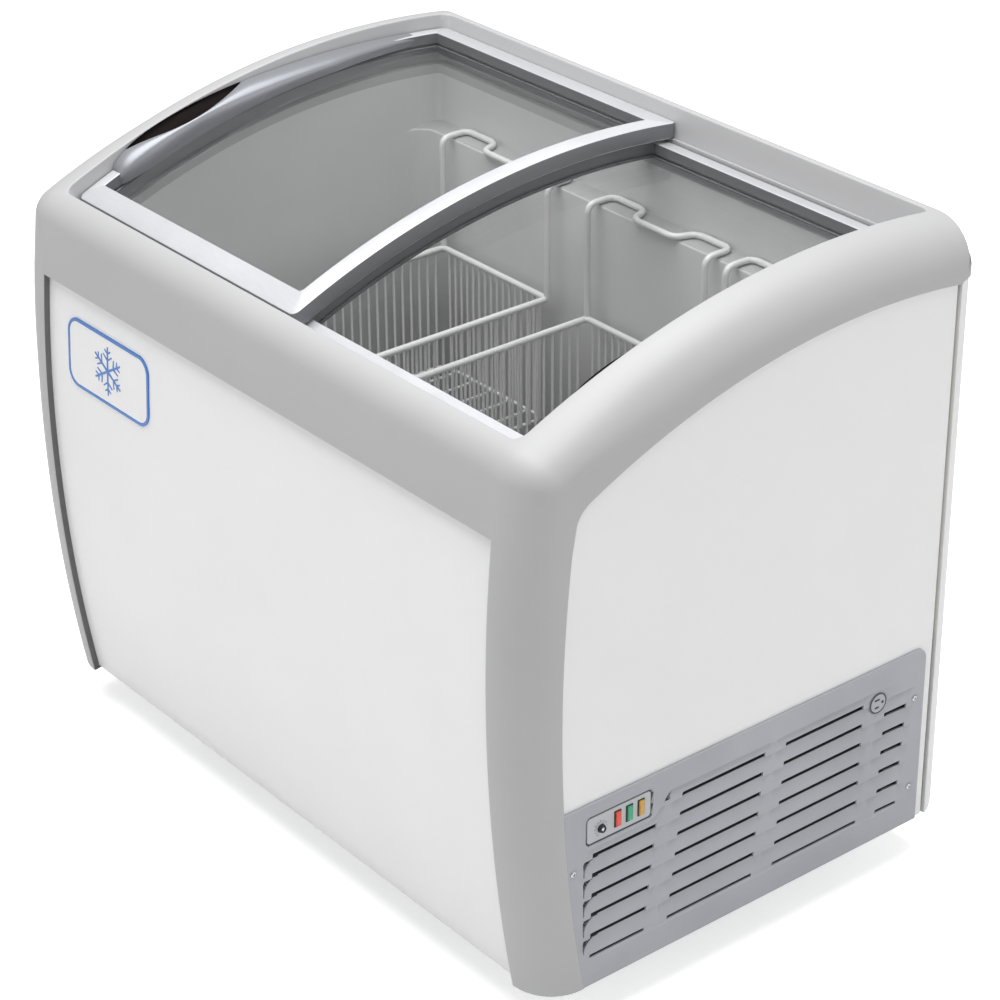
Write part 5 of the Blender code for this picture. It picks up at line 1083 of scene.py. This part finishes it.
def lid(name, side, depth, ends):
    """A lid's bent aluminium frame, with its glass in a groove."""
    outer = sorted((side * LID_OUT, -side * LID_OVER))
    pane = sorted((side * (LID_OUT - LID_SIDE), -side * (LID_OVER - LID_RAIL)))
    shares = spread(0.05, 0.95, 8), spread(0.02, 0.98, 40)
    soft, bevel, groove = 0.0012, 0.0008, 0.004
    groove_top, groove_low = GLASS_SINK - 0.0004, GLASS_SINK + GLASS_T + 0.0004
    outside = ((-0.002, FRAME_T), (0, FRAME_T - 0.002), (0, soft), (-soft * 0.3, soft * 0.3), (-soft, 0))
    inside = ((bevel, 0), (0, bevel), (0, groove_top), (groove, groove_top), (groove, groove_low))
    inside += ((0, groove_low), (0, FRAME_T))
    rings = []
    faces = ((outer, ends, LID_CORNER, outside), (pane, GLASS_Y, GLASS_CORNER, inside))
    for span, along, corner, profile in faces:
        for by, at in profile:
            loop = loop_points(grown(span, by), grown(along, by), corner, *shares)
            rings.append(on_arc(loop, depth + at))
    skin = Skin()
    skin.hoop(rings)
    mesh = skin.piece(f"{name}_rails", aluminium_y, name, (f"{name}_frame",)).data
    mesh.materials.append(aluminium_x)
    mesh.materials.append(rail_side_painted_shade_look)
    low, high = GLASS_Y
    for face in mesh.polygons:
        x, y, _ = face.center
        past = max(low - y, y - high)
        beside = max(pane[0] - x, x - pane[1], 0)
        mitred = past > beside * 0.8 and past > -0.002
        # Upright faces take the darker copy of the metal: painted shade; the rest is plain or mitred
        # aluminium.
        face.material_index = 2 if abs(face.normal.z) < 0.5 else int(mitred)
    sheet = Skin()
    x, reach = grown(pane, GLASS_REACH), grown(GLASS_Y, GLASS_REACH)
    rings = []
    for y in spread(*reach, 48):
        top, bottom = arc_z(y, depth + GLASS_SINK), arc_z(y, depth + GLASS_SINK + GLASS_T)
        rings.append([(x[0], y, top), (x[1], y, top), (x[1], y, bottom), (x[0], y, bottom)])
    sheet.tube(rings)
    sheet.piece(f"{name}_pane", glass, name, (f"{name}_glass",), angle=25)


def grip_size(y):
    """Height over the lid's frame, overhang over the glass and pocket width of the left grip at y."""
    start, full, end = GRIP_Y
    rise = math.sqrt(max(1 - (max(full - y, 0.0) / (full - start)) ** 2, 0.0))
    fade = math.exp(-((max(y - full, 0.0) / GRIP_FADE) ** 2))
    left = min(3 * (end - y) / (end - full), 1.0)
    along = (y - GRIP_POCKET_Y[0]) / (GRIP_POCKET_Y[1] - GRIP_POCKET_Y[0])
    pocket = GRIP_POCKET_WIDE * math.sin(math.pi * along) ** 0.9 if 0 < along < 1 else 0.0
    high = 0.0006 + (GRIP_HIGH * fade + 0.0020 * left) * rise
    return high, GRIP_OVERHANG * min(rise, left), pocket


def left_grip():
    """The metal grip over the left lid's outer member, with a dark finger pocket at the rim."""
    start, full, end = GRIP_Y
    metal, dark = [], []
    nose = [full - (full - start) * math.cos(t) for t in spread(0.03, math.pi / 2, 16)]
    for y in nose + spread(full, end, 70)[1:]:
        high, over, pocket = grip_size(y)
        top = arc_z(y, UPPER_D)
        low = arc_z(y, UPPER_D + GLASS_SINK) - top + 0.0004
        wide = GRIP_INNER + over - GRIP_WALL
        edge_high = high * (1 - 0.38 * pocket / GRIP_POCKET_WIDE)
        soft = min(0.0007, high * 0.4)
        section = [(pocket, low), (pocket, edge_high - soft * 2), (pocket, edge_high - soft)]
        for t in spread(0.3, math.pi / 2, 4):
            section.append((pocket + soft * (1 - math.cos(t)), edge_high - soft * (1 - math.sin(t))))
        back = (
            (pocket + soft, edge_high),
            (blend(pocket, wide, 0.62), edge_high * 1.02),
            (wide + 0.0020 * over / GRIP_OVERHANG, edge_high * 0.65),
            (wide, low * 0.45),
        )
        section += bezier(back, spread(0, 1, 15)[1:])
        section += [(wide - 0.0008, low * 0.8), (wide - 0.0016, low)]
        metal.append([(GRIP_WALL + out, y, top + up) for out, up in section])
        if pocket > 0.0002:
            row = [(0.0002, low), (0.0002, high), (0.0008, high), (0.0012, high * 0.80)]
            row += [(0.0012 + pocket * 0.3, high * 0.55), (pocket * 0.85, high * 0.45)]
            row.append((pocket + 0.0002, edge_high - soft * 1.5))
            dark.append([(GRIP_WALL + out, y, top + up) for out, up in row])
    Skin().tube(metal).piece("left_lid_grip", grip_look, "left_lid", ("left_lid_handle",), 50)
    Skin().sheet(dark).piece("left_lid_grip_pocket", recess_look, "left_lid", angle=50, outward=False)


def right_grip():
    """A low dark pull on the right lid's outer member, thin enough to pass under the left lid."""
    rings = []
    for t in spread(0.004, 0.996, 48):
        y = blend(*PULL_Y, t)
        wide = 0.010 + 0.0365 * math.sin(math.pi * t) ** 0.35
        low = arc_z(y, LOWER_D) + PLAY
        section = [(0.0, 0.0), (0.0, 0.0020), (0.0008, 0.0026), (wide * 0.5, 0.0027)]
        section += [(wide - 0.0018, 0.0024), (wide - 0.0004, 0.0014), (wide, 0.0)]
        rings.append([(PULL_WALL - inward, y, low + up) for inward, up in section])
    Skin().tube(rings).piece("right_lid_grip", recess_look, "right_lid", ("right_lid_handle",))


# Wire baskets


def hanger_path(x, y_leg, y_rod, z_rod, side):
    """The loop that carries one end of a basket: two legs and a rod with a notch."""
    half = BASKET_W / 2 - RIM_WIRE_R
    outer, inner, depth = NOTCH
    low = BASKET_Z[1] - RIM_WIRE_R
    left = [(x - half, y_leg, low), (x - half, y_leg, z_rod), (x - half, y_rod, z_rod)]
    left += [(x - outer, y_rod, z_rod), (x - inner, y_rod - side * depth, z_rod)]
    right = [(2 * x - px, py, pz) for px, py, pz in reversed(left)]
    return rounded_path(left + right, 0.014, 7)


def basket(name, x):
    """Every wire of one basket: rim, hangers, floor ring, and the wires bent up from the floor."""
    thick, thin = RIM_WIRE_R, FINE_WIRE_R
    top, floor = BASKET_Z[1] - thick, BASKET_Z[0] + thin * 2
    z = floor + thin * 2
    plan = ((x - BASKET_W / 2, x + BASKET_W / 2), BASKET_Y)
    skin = Skin()

    def hoop(inset, corner, level, radius):
        loop = loop_points(*(grown(span, -inset) for span in plan), corner)
        sweep_round(skin, level_ring(loop, level), radius, True)

    def wire(path, radius=thin):
        sweep_round(skin, path, radius, False)

    inner = thick + thin * 0.4
    hoop(thick, BASKET_CORNER, top, thick)
    hoop(inner + 0.003, 0.014, z, thin * 1.25)
    span_x, span_y = (grown(span, -inner) for span in plan)
    columns = round((span_x[1] - span_x[0]) / WIRE_PITCH_X)
    for i, px in enumerate(spread(*span_x, columns + 1)[1:-1]):
        low, high = span_y
        corners = [(px, low, top), (px, low, floor), (px, high, floor), (px, high, top)]
        if i % 3 == 1:
            wire(rounded_path(corners, 0.012, 4))
        else:
            wire(corners[:2])
            wire(corners[2:])
    rows = round((span_y[1] - span_y[0]) / WIRE_PITCH_Y)
    for py in spread(*span_y, rows + 1)[1:-1]:
        for px in span_x:
            wire([(px, py, top), (px, py, z)])
    for py in spread(*span_y, FLOOR_WIRES + 2)[1:-1]:
        wire([(px, py, z) for px in span_x])
    for i, side in ((1, 1), (0, -1)):
        y_leg, z_rod = BASKET_Y[i] - side * thick, LEDGE_Z[i] + HANGER_R + PLAY
        wire(hanger_path(x, y_leg, ROD_Y[i], z_rod, side), HANGER_R)
    skin.piece(f"{name}_wires", wire_look, name, (name,), angle=60)


# Grille side


def slot_end(y_top, y_low, z):
    """Where a slot column's edge lies at height z: the columns lean as they go down."""
    return blend(y_top, y_low, (SLOT_TOP - z) / (SLOT_TOP - SLOT_LOW))


def slot_bottom(row):
    """The lower edge of a row of slots: the last row has no blade below it, so its opening is lower."""
    return row - (SLOT_H if row > SLOT_LOW else LAST_SLOT_H)


def field_outline():
    """The louvre field's edge in (y, z): rounded at the left, with a step up beside the bezel."""
    step = ((-0.108, FIELD_TOP), (-0.124, FIELD_TOP), (-0.124, FIELD_STEP_Z), (-0.148, FIELD_STEP_Z))
    edge = [(0.40, FIELD_TOP)] + bezier(step, spread(0, 1, 15))
    r = FIELD_ROUND
    middle = FIELD_LEFT + r
    edge += [(middle - r * s, FIELD_STEP_Z - r + r * c) for c, s in turns(0, 1, 9)]
    edge += [(middle - r * c, FIELD_LOW + r - r * s) for c, s in turns(0, 1, 9)]
    return edge + [(0.40, FIELD_LOW)]


def depth_inside(y, z, outline):
    """Signed distance from points to a closed outline, positive inside."""
    nearest = np.full(y.shape, 1.0)
    inside = np.zeros(y.shape, bool)
    for (ay, az), (by, bz) in zip(outline, outline[1:] + outline[:1]):
        ly, lz = by - ay, bz - az
        t = np.clip(((y - ay) * ly + (z - az) * lz) / (ly * ly + lz * lz + 1e-12), 0, 1)
        nearest = np.minimum(nearest, np.hypot(y - ay - t * ly, z - az - t * lz))
        if lz:
            inside ^= ((az > z) != (bz > z)) & (y < ay + (z - az) / lz * ly)
    return np.where(inside, nearest, -nearest)


def rounded_box(y, z, span_y, span_z, radius):
    """Signed distance to a rounded rectangle, negative inside."""
    dy, dz = (
        np.abs(at - (low + high) / 2) - (high - low) / 2 + radius
        for at, (low, high) in ((y, span_y), (z, span_z))
    )
    return np.hypot(np.maximum(dy, 0), np.maximum(dz, 0)) + np.minimum(np.maximum(dy, dz), 0) - radius


def blade_wave(y, z, i):
    """Where the blade over slot row i stands back fully (1), or stays level with the field (0)."""
    wave = np.zeros(y.shape)
    for k, (top, low) in enumerate(SLOT_COLUMNS):
        if i == 0 and k in SHORT_COLUMNS:
            continue
        ends = [slot_end(top[j], low[j], z) for j in (0, 1)]
        left = ends[0] - (0.045 if k == 0 or (i == 0 and k == 1) else 0.010)
        fall = 1 - smoothstep(ends[1], ends[1] + 0.012, y)
        wave = np.maximum(wave, smoothstep(left - 0.010, left, y) * fall)
    return np.where(y > 0.215, 0, wave) if i == 0 else wave


def grille_relief(y, z):
    """How far the grille's face stands back from the body's side, as a negative number."""
    inside = depth_inside(y, z, field_outline())
    fade = 1 - smoothstep(0.215, 0.292, y)
    relief = -FIELD_SINK * smoothstep(0, 0.0035, inside) * fade
    bounds = [SLOT_TOP + 0.0126] + [row - SLOT_H for row in SLOT_ROWS]
    for i, (row, high) in enumerate(zip(SLOT_ROWS, bounds)):
        t = np.clip((high - z) / (high - row), 0, 1)
        on_blade = (z <= high + 1e-7) & (z >= row - 1e-7)
        wave = blade_wave(y, z, i)
        wave = 0.30 * fade * (y < 0.27) + 0.70 * wave if i else np.maximum(0.25 * (y < 0.20), wave)
        blade = -BLADE_D * wave * (1 - t) ** 1.2 * smoothstep(0, 0.004, inside)
        relief = np.where(on_blade, relief + blade, relief)
        # The rounded hollow at the left end of each blade
        start, bulge, reach = (-0.2190, 0.0230, -0.16) if i else (-0.098, 0.016, 0.0)
        tip = start - bulge * np.sqrt(np.clip(1 - (1 - t) ** 2, 0, 1))
        scoop = -SCOOP_D * (1 - smoothstep(tip - 0.0012, tip + 0.0012, y))
        scoop = np.minimum(relief, scoop * smoothstep(0.0005, 0.0035, inside))
        relief = np.where(on_blade & (y < reach), scoop, relief)
    pocket = rounded_box(y, z, POCKET_Y, POCKET_Z, POCKET_CORNER)
    relief += 0.0008 * (1 - smoothstep(0.0, 0.004, np.abs(pocket - 0.001)))
    relief -= 0.0022 * (1 - smoothstep(-0.0012, 0.0006, pocket))
    for _, sy, sz in SCREWS:
        relief -= 0.0008 * (1 - smoothstep(0.0044, 0.0060, np.hypot(y - sy, z - sz)))
    around = np.abs(np.hypot(y - SOCKET[0], z - SOCKET[1]) - SOCKET_R)
    return relief - 0.0014 * (1 - smoothstep(0.0002, 0.0009, around))


def grille_lines():
    """The heights of the grille's rows of points, and along each row their y, knot to knot."""
    levels = [BODY_Z + 0.0010]
    marks = [0.086, 0.090]
    marks += [mark for row in reversed(SLOT_ROWS) for mark in (slot_bottom(row), row)]
    marks += [0.279, 0.283, GRILLE_TOP - 0.015, GRILLE_TOP - 0.0015]
    for mark in marks:
        count = max(1, round((mark - levels[-1]) / GRILLE_STEP))
        levels += spread(levels[-1], mark, count + 1)[1:]
    bend = GRILLE_TOP - 0.0015 - GRILLE_ROUND
    rows = []
    for z in levels:
        front = post_edge_y(z) - 0.0010
        back = GRILLE_BACK - 0.0015
        if z > bend:
            back -= GRILLE_ROUND - math.sqrt(max(GRILLE_ROUND**2 - (z - bend) ** 2, 0))
        knots = [max(-0.250, front + 0.004)]
        knots += [slot_end(*ends, z) for top, low in SLOT_COLUMNS for ends in zip(top, low)] + [back]
        row = [front]
        for knot, count in zip(knots, GRILLE_BANDS):
            row += spread(row[-1], knot, count + 1)[1:]
        rows.append(row)
    return levels, rows


def grille():
    """The moulded side grille: one relief over lines that follow the slots' ends, with open slots."""
    levels, rows = grille_lines()
    y = np.array(rows)
    z = np.repeat(np.array(levels)[:, None], y.shape[1], 1)
    face_x = HALF_W + 0.0004
    x = face_x + grille_relief(y, z)
    bands = np.repeat(range(len(GRILLE_BANDS)), GRILLE_BANDS)
    skin = Skin()
    grid = [skin.row(zip(*line)) for line in zip(x, y, z)]
    for i, (low, high) in enumerate(zip(levels, levels[1:])):
        middle = (low + high) / 2
        hit = [k for k, row in enumerate(SLOT_ROWS) if slot_bottom(row) < middle < row]
        for j, band in enumerate(bands):
            column = (band - 2) / 2  # a whole number between the two ends of a column's slots
            if hit and column in range(4) and not (hit[0] == 0 and column in SHORT_COLUMNS):
                continue
            at = (y[i, j] + y[i, j + 1]) / 2
            if rounded_box(at, middle, BEZEL_ROOM_Y, BEZEL_ROOM_Z, 0.002) > 0:
                skin.faces.append((grid[i][j], grid[i][j + 1], grid[i + 1][j + 1], grid[i + 1][j]))
    bm, _ = skin.welded(weld=0.00001)
    drop_loose(bm)
    bm.normal_update()
    for ring in walk_boundary(bm):
        outer = min(v.co.z for v, _ in ring) < BODY_Z + 0.01
        profile = quarter(0.0014, 3)[1:] + [(0.0014, 0.0030)] if outer else [(0.0, 0.0025)]
        lip(bm, ring, profile, facing=Vector((1, 0, 0)))
    mesh = made_mesh("grille_face", bm)
    finished("grille_face", mesh, grille_look, stands_for=("grille_panel",), angle=32)
    mesh.materials.append(grille_shade_look)
    # Faces in the pocket and deep in the scoops take the near-black grey: painted shade.
    for face in mesh.polygons:
        x, y, z = face.center
        at_pocket = rounded_box(y, z, POCKET_Y, POCKET_Z, POCKET_CORNER) < -0.0003
        face.material_index = int(at_pocket or face_x - x > SCOOP_D * 0.55)


def soft_plate(skin, x, y, z, radius, soft, steps=6):
    """A plate in the side's plane from x[0] out to x[1], with round corners and a soft front edge."""
    layers = [(0, x[0])] + [(soft * (1 - c), x[1] - soft * (1 - s)) for c, s in turns(0, 1, 4)]
    rings = []
    for inset, at in layers:
        corner = max(radius - inset, 0.0003)
        loop = loop_points(grown(y, -inset), grown(z, -inset), corner, steps=steps)
        rings.append(side_ring(loop, at))
    skin.tube(rings)


def slot_shade_sheet():
    """A black sheet behind the grille's slots, dished towards its frame: painted shade that keeps the
    slots dark.
    """
    rings = []
    for inset, sink in ((0.0, 0.0110), (0.0, 0.0082), (0.003, 0.0078), (0.006, 0.0092)):
        loop = loop_points(grown(SHADE_SHEET_Y, -inset), grown(SHADE_SHEET_Z, -inset), 0.006)
        rings.append(side_ring(loop, HALF_W - sink))
    Skin().tube(rings).piece("grille_slot_painted_shade", black_look)


def lamps(face):
    """Three lenses, each in a dark frame."""
    frames = Skin()
    for colour, y in LAMPS:
        span_y, span_z = grown((y, y), LAMP_HALF_Y), grown((LAMP_Z, LAMP_Z), LAMP_HALF_Z)
        back = face - 0.001
        frame_spans = grown(span_y, 0.0016), grown(span_z, 0.0012)
        soft_plate(frames, (back, face + 0.0009), *frame_spans, 0.0008, 0.0004, 2)
        lens = Skin()
        soft_plate(lens, (back, face + 0.0030), span_y, span_z, 0.0010, 0.0012, 3)
        lens.piece(f"indicator_{colour}_lens", lens_looks[colour], stands_for=(f"indicator_{colour}",))
    frames.piece("lamp_frames", black_look)


def dial(face):
    """The thermostat's dial with its ring and scale."""
    middle, out = Vector((face, *DIAL)), (1, 0, 0)
    ring = Skin()
    ring.turned(middle, out, [(0.0004, 0.0072), (0.0012, 0.0068), (0.0013, 0.0058), (0.0004, 0.0052)], 40)
    ring.piece("dial_ring", bezel_look)
    scale = Skin()
    start, lift = 0.0086, Vector((0.00022, 0, 0))
    for k in range(11):
        turn = math.radians(-150 + 30 * k)
        across = Vector((0, math.cos(turn), -math.sin(turn))) * 0.00025
        along = Vector((0, math.sin(turn), math.cos(turn)))
        end = start + (0.0022 if k % 5 == 0 else 0.0013)
        corners = ((-1, start), (1, start), (1, end), (-1, end))
        spots = [middle + along * at + across * s for s, at in corners]
        scale.tube([[p - lift for p in spots], [p + lift for p in spots]])
    scale.piece("dial_scale", black_look)
    knob = Skin()
    profile = [(0.0006, 0.0050), (0.0040, 0.0048), (0.0052, 0.0042)]
    profile += [(0.0056, 0.0034), (0.0044, 0.0026), (0.0040, 0.0008)]
    knob.turned(middle, out, profile, 40)
    knob.piece("dial_knob", black_look, "thermostat_dial", ("thermostat_dial",))
    mark = Skin()
    bar = [(DIAL[0] + 0.0005 * y, DIAL[1] + 0.0022 * z) for y, z in ((-1, -1), (1, -1), (1, 1), (-1, 1))]
    mark.tube([side_ring(bar, face + up) for up in (0.0036, 0.0048)])
    mark.turned(middle, out, [(0.0040, 0.0024), (0.0043, 0.0022)], 24)
    mark.piece("dial_slot", chrome_look, "thermostat_dial")


def socket():
    """The small round socket: a disc in the grille, with two slits, a pin hole and a ring round it, all
    three black plates that paint the shade of openings and a groove.
    """
    middle, out = (HALF_W, *SOCKET), (1, 0, 0)
    r = SOCKET_R - 0.0010
    disc = Skin()
    disc.turned(middle, out, [(-0.012, r), (0.0, r), (0.0005, r - 0.0006)], 48)
    disc.piece("socket_disc", grille_look, stands_for=("service_socket",))
    # Raised black plates: painted shade for the slits, the pin hole and the groove round the disc.
    holes = Skin()
    for offset, half in ((0.0052, 0.0042), (-0.0052, 0.0034)):
        y, z = SOCKET[0] - 0.0025, SOCKET[1] + offset
        spans = grown((y, y), half), grown((z, z), 0.0011)
        soft_plate(holes, (HALF_W, HALF_W + 0.0008), *spans, 0.0003, 0.0001, 1)
    pin = (HALF_W, SOCKET[0] + 0.0068, SOCKET[1])
    holes.turned(pin, out, [(0.0, 0.0019), (0.0008, 0.0019)], 20)
    ring = [(0.0, r + 0.0002), (0.0006, r + 0.0002), (0.0006, r + 0.0009), (0.0, r + 0.0009)]
    holes.turned(middle, out, ring, 48)
    holes.piece("socket_holes_painted_shade", black_look)


def controls():
    """The bezel plate with its lamps and dial, the socket and the grille's screws."""
    face = HALF_W + 0.0002
    bezel = Skin()
    soft_plate(bezel, (0.5040, face), BEZEL_Y, BEZEL_Z, 0.0045, 0.0009)
    bezel.piece("bezel_plate", bezel_look, stands_for=("control_bezel",))
    lamps(face)
    dial(face)
    socket()
    for name, y, z in SCREWS:
        head = Skin()
        pan_head(head, (HALF_W - 0.0004, y, z), (1, 0, 0), 0.0020)
        head.piece(f"screw_{name}", chrome_look, stands_for=(f"grille_screw_{name}",))


def badge():
    """A plain plate that follows the bow: a raised blue edge, a white face and a snow crystal."""
    low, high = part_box("badge")
    x, z = (low[0], high[0]), (low[2], high[2])

    def on_face(px, pz, back):
        return (px, front_y(pz) + PANEL_SINK - BADGE_T + back, pz)

    def outline(inset):
        return loop_points(grown(x, -inset), grown(z, -inset), BADGE_CORNER - inset, steps=10)

    border = Skin()
    profile = [(0.0, BADGE_T), (0.0, 0.0004), (0.0005, 0.0), (0.0038, 0.0), (0.0045, 0.0006)]
    border.sheet([[on_face(*p, back) for p in outline(inset)] for inset, back in profile], closed=True)
    border.piece("badge_border", badge_look, stands_for=("badge",))
    face = Skin()
    cx, cz = sum(x) / 2, sum(z) / 2
    rings = [outline(0.0044)]
    for k in (1.0, 0.5, 0.02):
        rings.append([(blend(cx, px, k), blend(cz, pz, k)) for px, pz in outline(0.012)])
    made = face.grid([[on_face(*p, 0.0006) for p in ring] for ring in rings], closed=True)
    face.faces.append(tuple(made[-1]))
    face.piece("badge_face", white_look, outward=False)
    crystal = Skin()

    def bar(start, degrees, length, half):
        """Adds a tapered bar to the crystal and returns the way it points."""
        along = Vector((math.cos(math.radians(degrees)), math.sin(math.radians(degrees))))
        side = Vector((along.y, -along.x)) * half
        end = start + along * length
        ring = [start - side, start + side, end + side * 0.7, end - side * 0.7]
        crystal.tube([[on_face(*p, back) for p in ring] for back in (0.0007, 0.0001)])
        return along

    for k in range(6):
        degrees = 60 * k + 30
        out = bar(Vector((cx, cz)), degrees, CRYSTAL_R, 0.0017)
        for share, reach in ((0.45, 0.012), (0.72, 0.008)):
            for side in (-1, 1):
                start = Vector((cx, cz)) + out * CRYSTAL_R * share
                bar(start, degrees + 55 * side, reach, 0.0012)
    crystal.piece("badge_crystal", badge_look)


# Casters


def mirrored(profile):
    return profile + [(-height, radius) for height, radius in reversed(profile)]


def caster(name):
    """A swivel caster: bolted plate and race, a bent fork with its axle, and a wheel with a hub."""
    low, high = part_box(f"{name}_plate")
    x, y, top = (low[0] + high[0]) / 2, (low[1] + high[1]) / 2, high[2]
    caster_mount(name, x, y, top)
    hub = (x, y + TRAIL, WHEEL_R)
    caster_fork(f"{name}_fork", name, hub)
    tread = [(-0.0050, 0.0110), (-0.0075, 0.0125), (-WHEEL_HALF, WHEEL_R - 0.0040)]
    for t in spread(0.2, math.pi / 2, 5):
        tread.append((-WHEEL_HALF + 0.003 * (1 - math.cos(t)), WHEEL_R - 0.003 * (1 - math.sin(t))))
    core = [(-0.0095, 0.0044), (-0.0095, 0.0062), (-0.0052, 0.0070), (-0.0052, 0.0112)]
    wheel = f"{name}_wheel"
    tyre, middle = Skin(), Skin()
    tyre.turned(hub, (1, 0, 0), mirrored(tread), 48, hoop=True)
    tyre.piece(f"{name}_tyre", rubber_look, wheel, (wheel,))
    middle.turned(hub, (1, 0, 0), mirrored(core), 32, hoop=True)
    middle.piece(f"{name}_hub", black_look, wheel)


def caster_mount(name, x, y, top):
    """The bolted plate with the ball race and the kingpin under it."""
    mount = Skin()
    rings = []
    for inset, down in ((0.0, 0.0), (0.0, 0.0024), (0.0006, 0.003)):
        half = CASTER_HALF - inset
        loop = loop_points(grown((x, x), half), grown((y, y), half), 0.004)
        rings.append(level_ring(loop, top - down))
    mount.tube(rings)
    race = [(-0.009, 0.0126), (-0.0086, 0.0138), (-0.0072, 0.0140), (-0.0060, 0.0132)]
    race += [(-0.0045, 0.0140), (-0.003, 0.0140)]
    mount.turned((x, y, top), (0, 0, 1), race, 36)
    mount.turned((x, y, top), (0, 0, 1), [(-0.0155, 0.0036), (-0.009, 0.004)], 20)
    for sx in (-BOLT_OUT, BOLT_OUT):
        for sy in (-BOLT_OUT, BOLT_OUT):
            bolt = [(0.0, 0.0032), (0.0018, 0.0032), (0.0022, 0.0028)]
            mount.turned((x + sx, y + sy, top - 0.003), (0, 0, -1), bolt, 6)
    mount.piece(f"{name}_mount", steel_look, stands_for=(f"{name}_plate",))


def caster_fork(body, name, hub):
    """Two cheeks that end round the axle, the bridge between them and the axle."""
    x, hub_y, hub_z = hub
    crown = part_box(body)[1][2]
    front, back = hub_y - TRAIL - 0.010, hub_y - TRAIL + 0.020
    outline = [(front, crown), (back, crown), (hub_y + 0.0065, hub_z + 0.010)]
    for t in spread(0.3, -math.pi, 9):
        outline.append((hub_y + 0.006 * math.cos(t), hub_z + 0.006 * math.sin(t)))
    outline += [(front + 0.006, crown - 0.012), (front, crown - 0.004)]
    bridge = [(front, crown), (back, crown), (back, crown - 0.0025), (front, crown - 0.0025)]
    fork = Skin()
    parts = ((outline, (-0.0108, -0.0130)), (outline, (0.0130, 0.0108)), (bridge, (-0.0129, 0.0129)))
    for profile, ends in parts:
        fork.tube([side_ring(profile, x + end) for end in ends])
    axle = mirrored([(-0.0136, 0.0030), (-0.0126, 0.0040)])
    fork.turned(hub, (1, 0, 0), axle, 20)
    fork.piece(f"{name}_bracket", steel_look, body, (body,))


# Carried-over pieces


def dress_cad():
    """Procedural looks for the CAD pieces whose shape is already right."""
    looks = (
        (steel_look, ("base_pan", "machine_bulkhead", "fan_shroud", "fan_blade")),
        (copper_look, ("evaporator_coil", "filter_drier", "discharge_line", "suction_line")),
        (black_look, ("drain_plug", "thermostat_body")),
        (enamel_look, ("compressor", "fan_motor")),
        (foam_look, ("foam_insulation",)),
        (coil_look, ("condenser_coil",)),
        (rubber_look, ("power_cord",)),
    )
    for look, names in looks:
        for name in names:
            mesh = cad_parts[name].data
            mesh.materials.clear()
            mesh.materials.append(look)


# Room, lights and camera


def camera():
    """The photograph's viewpoint: a long lens, above the front right corner."""
    azimuth, elevation, roll = (math.radians(degrees) for degrees in CAMERA_TURN)
    right = Vector((math.cos(azimuth), math.sin(azimuth), 0))
    ahead = Vector((-math.sin(azimuth), math.cos(azimuth), 0))
    back = Vector((0, 0, math.sin(elevation))) - ahead * math.cos(elevation)
    up = back.cross(right)
    across = right * math.cos(roll) + up * math.sin(roll)
    upward = up * math.cos(roll) - right * math.sin(roll)
    made = linked("camera", bpy.data.cameras.new("camera"))
    turn = Matrix((across, upward, back)).transposed().to_4x4()
    made.matrix_world = Matrix.Translation(CAMERA_PLACE) @ turn
    made.data.lens = CAMERA_LENS
    made.data.sensor_width = 36
    made.data.clip_start = 0.05
    bpy.context.scene.camera = made


def area_light(name, place, target, size, power):
    lamp = bpy.data.lights.new(name, "AREA")
    lamp.shape = "RECTANGLE"
    lamp.size, lamp.size_y = size
    lamp.energy = power
    obj = linked(name, lamp)
    obj.location = place
    obj.rotation_euler = (Vector(target) - Vector(place)).to_track_quat("-Z", "Y").to_euler()


def room():
    """A pale floor that runs to the horizon, soft lamps and an even pale sky."""
    world = bpy.data.worlds.new("studio")
    world.use_nodes = True
    sky = world.node_tree.nodes["Background"].inputs
    sky["Color"].default_value = (1, 1, 1, 1)
    sky["Strength"].default_value = 0.44
    scene = bpy.context.scene
    scene.world = world
    scene.view_settings.view_transform = "Standard"
    mesh = bpy.data.meshes.new("floor")
    mesh.from_pydata([(-9, -9, 0), (9, -9, 0), (9, 9, 0), (-9, 9, 0)], [], [(0, 1, 2, 3)])
    mesh.materials.append(floor_look())
    linked("floor", mesh)
    area_light("top_softbox", (0.0, -0.3, 3.3), (0, 0, 0.6), (3.0, 3.0), 118)
    area_light("side_softbox", (3.0, 1.4, 1.5), (0, 0, 0.5), (2.6, 2.2), 16)
    area_light("front_softbox", (-0.8, -3.6, 1.4), (0, 0, 0.5), (3.0, 2.2), 10)


def build():
    outer_shell()
    lid_well()
    front_panel()
    for side, word in ((-1, "left"), (1, "right")):
        side_sheet(side, word)
        rear_post(side, word)
    back_sheet()
    liner()
    lid("left_lid", -1, UPPER_D, UPPER_Y)
    lid("right_lid", 1, LOWER_D, LOWER_Y)
    left_grip()
    right_grip()
    for word, x in zip(("left", "middle", "right"), BASKET_X):
        basket(f"basket_{word}", x)
    grille()
    slot_shade_sheet()
    controls()
    badge()
    for end in ("front", "rear"):
        for word in ("left", "right"):
            caster(f"caster_{end}_{word}")
    dress_cad()
    room()
    camera()


build()
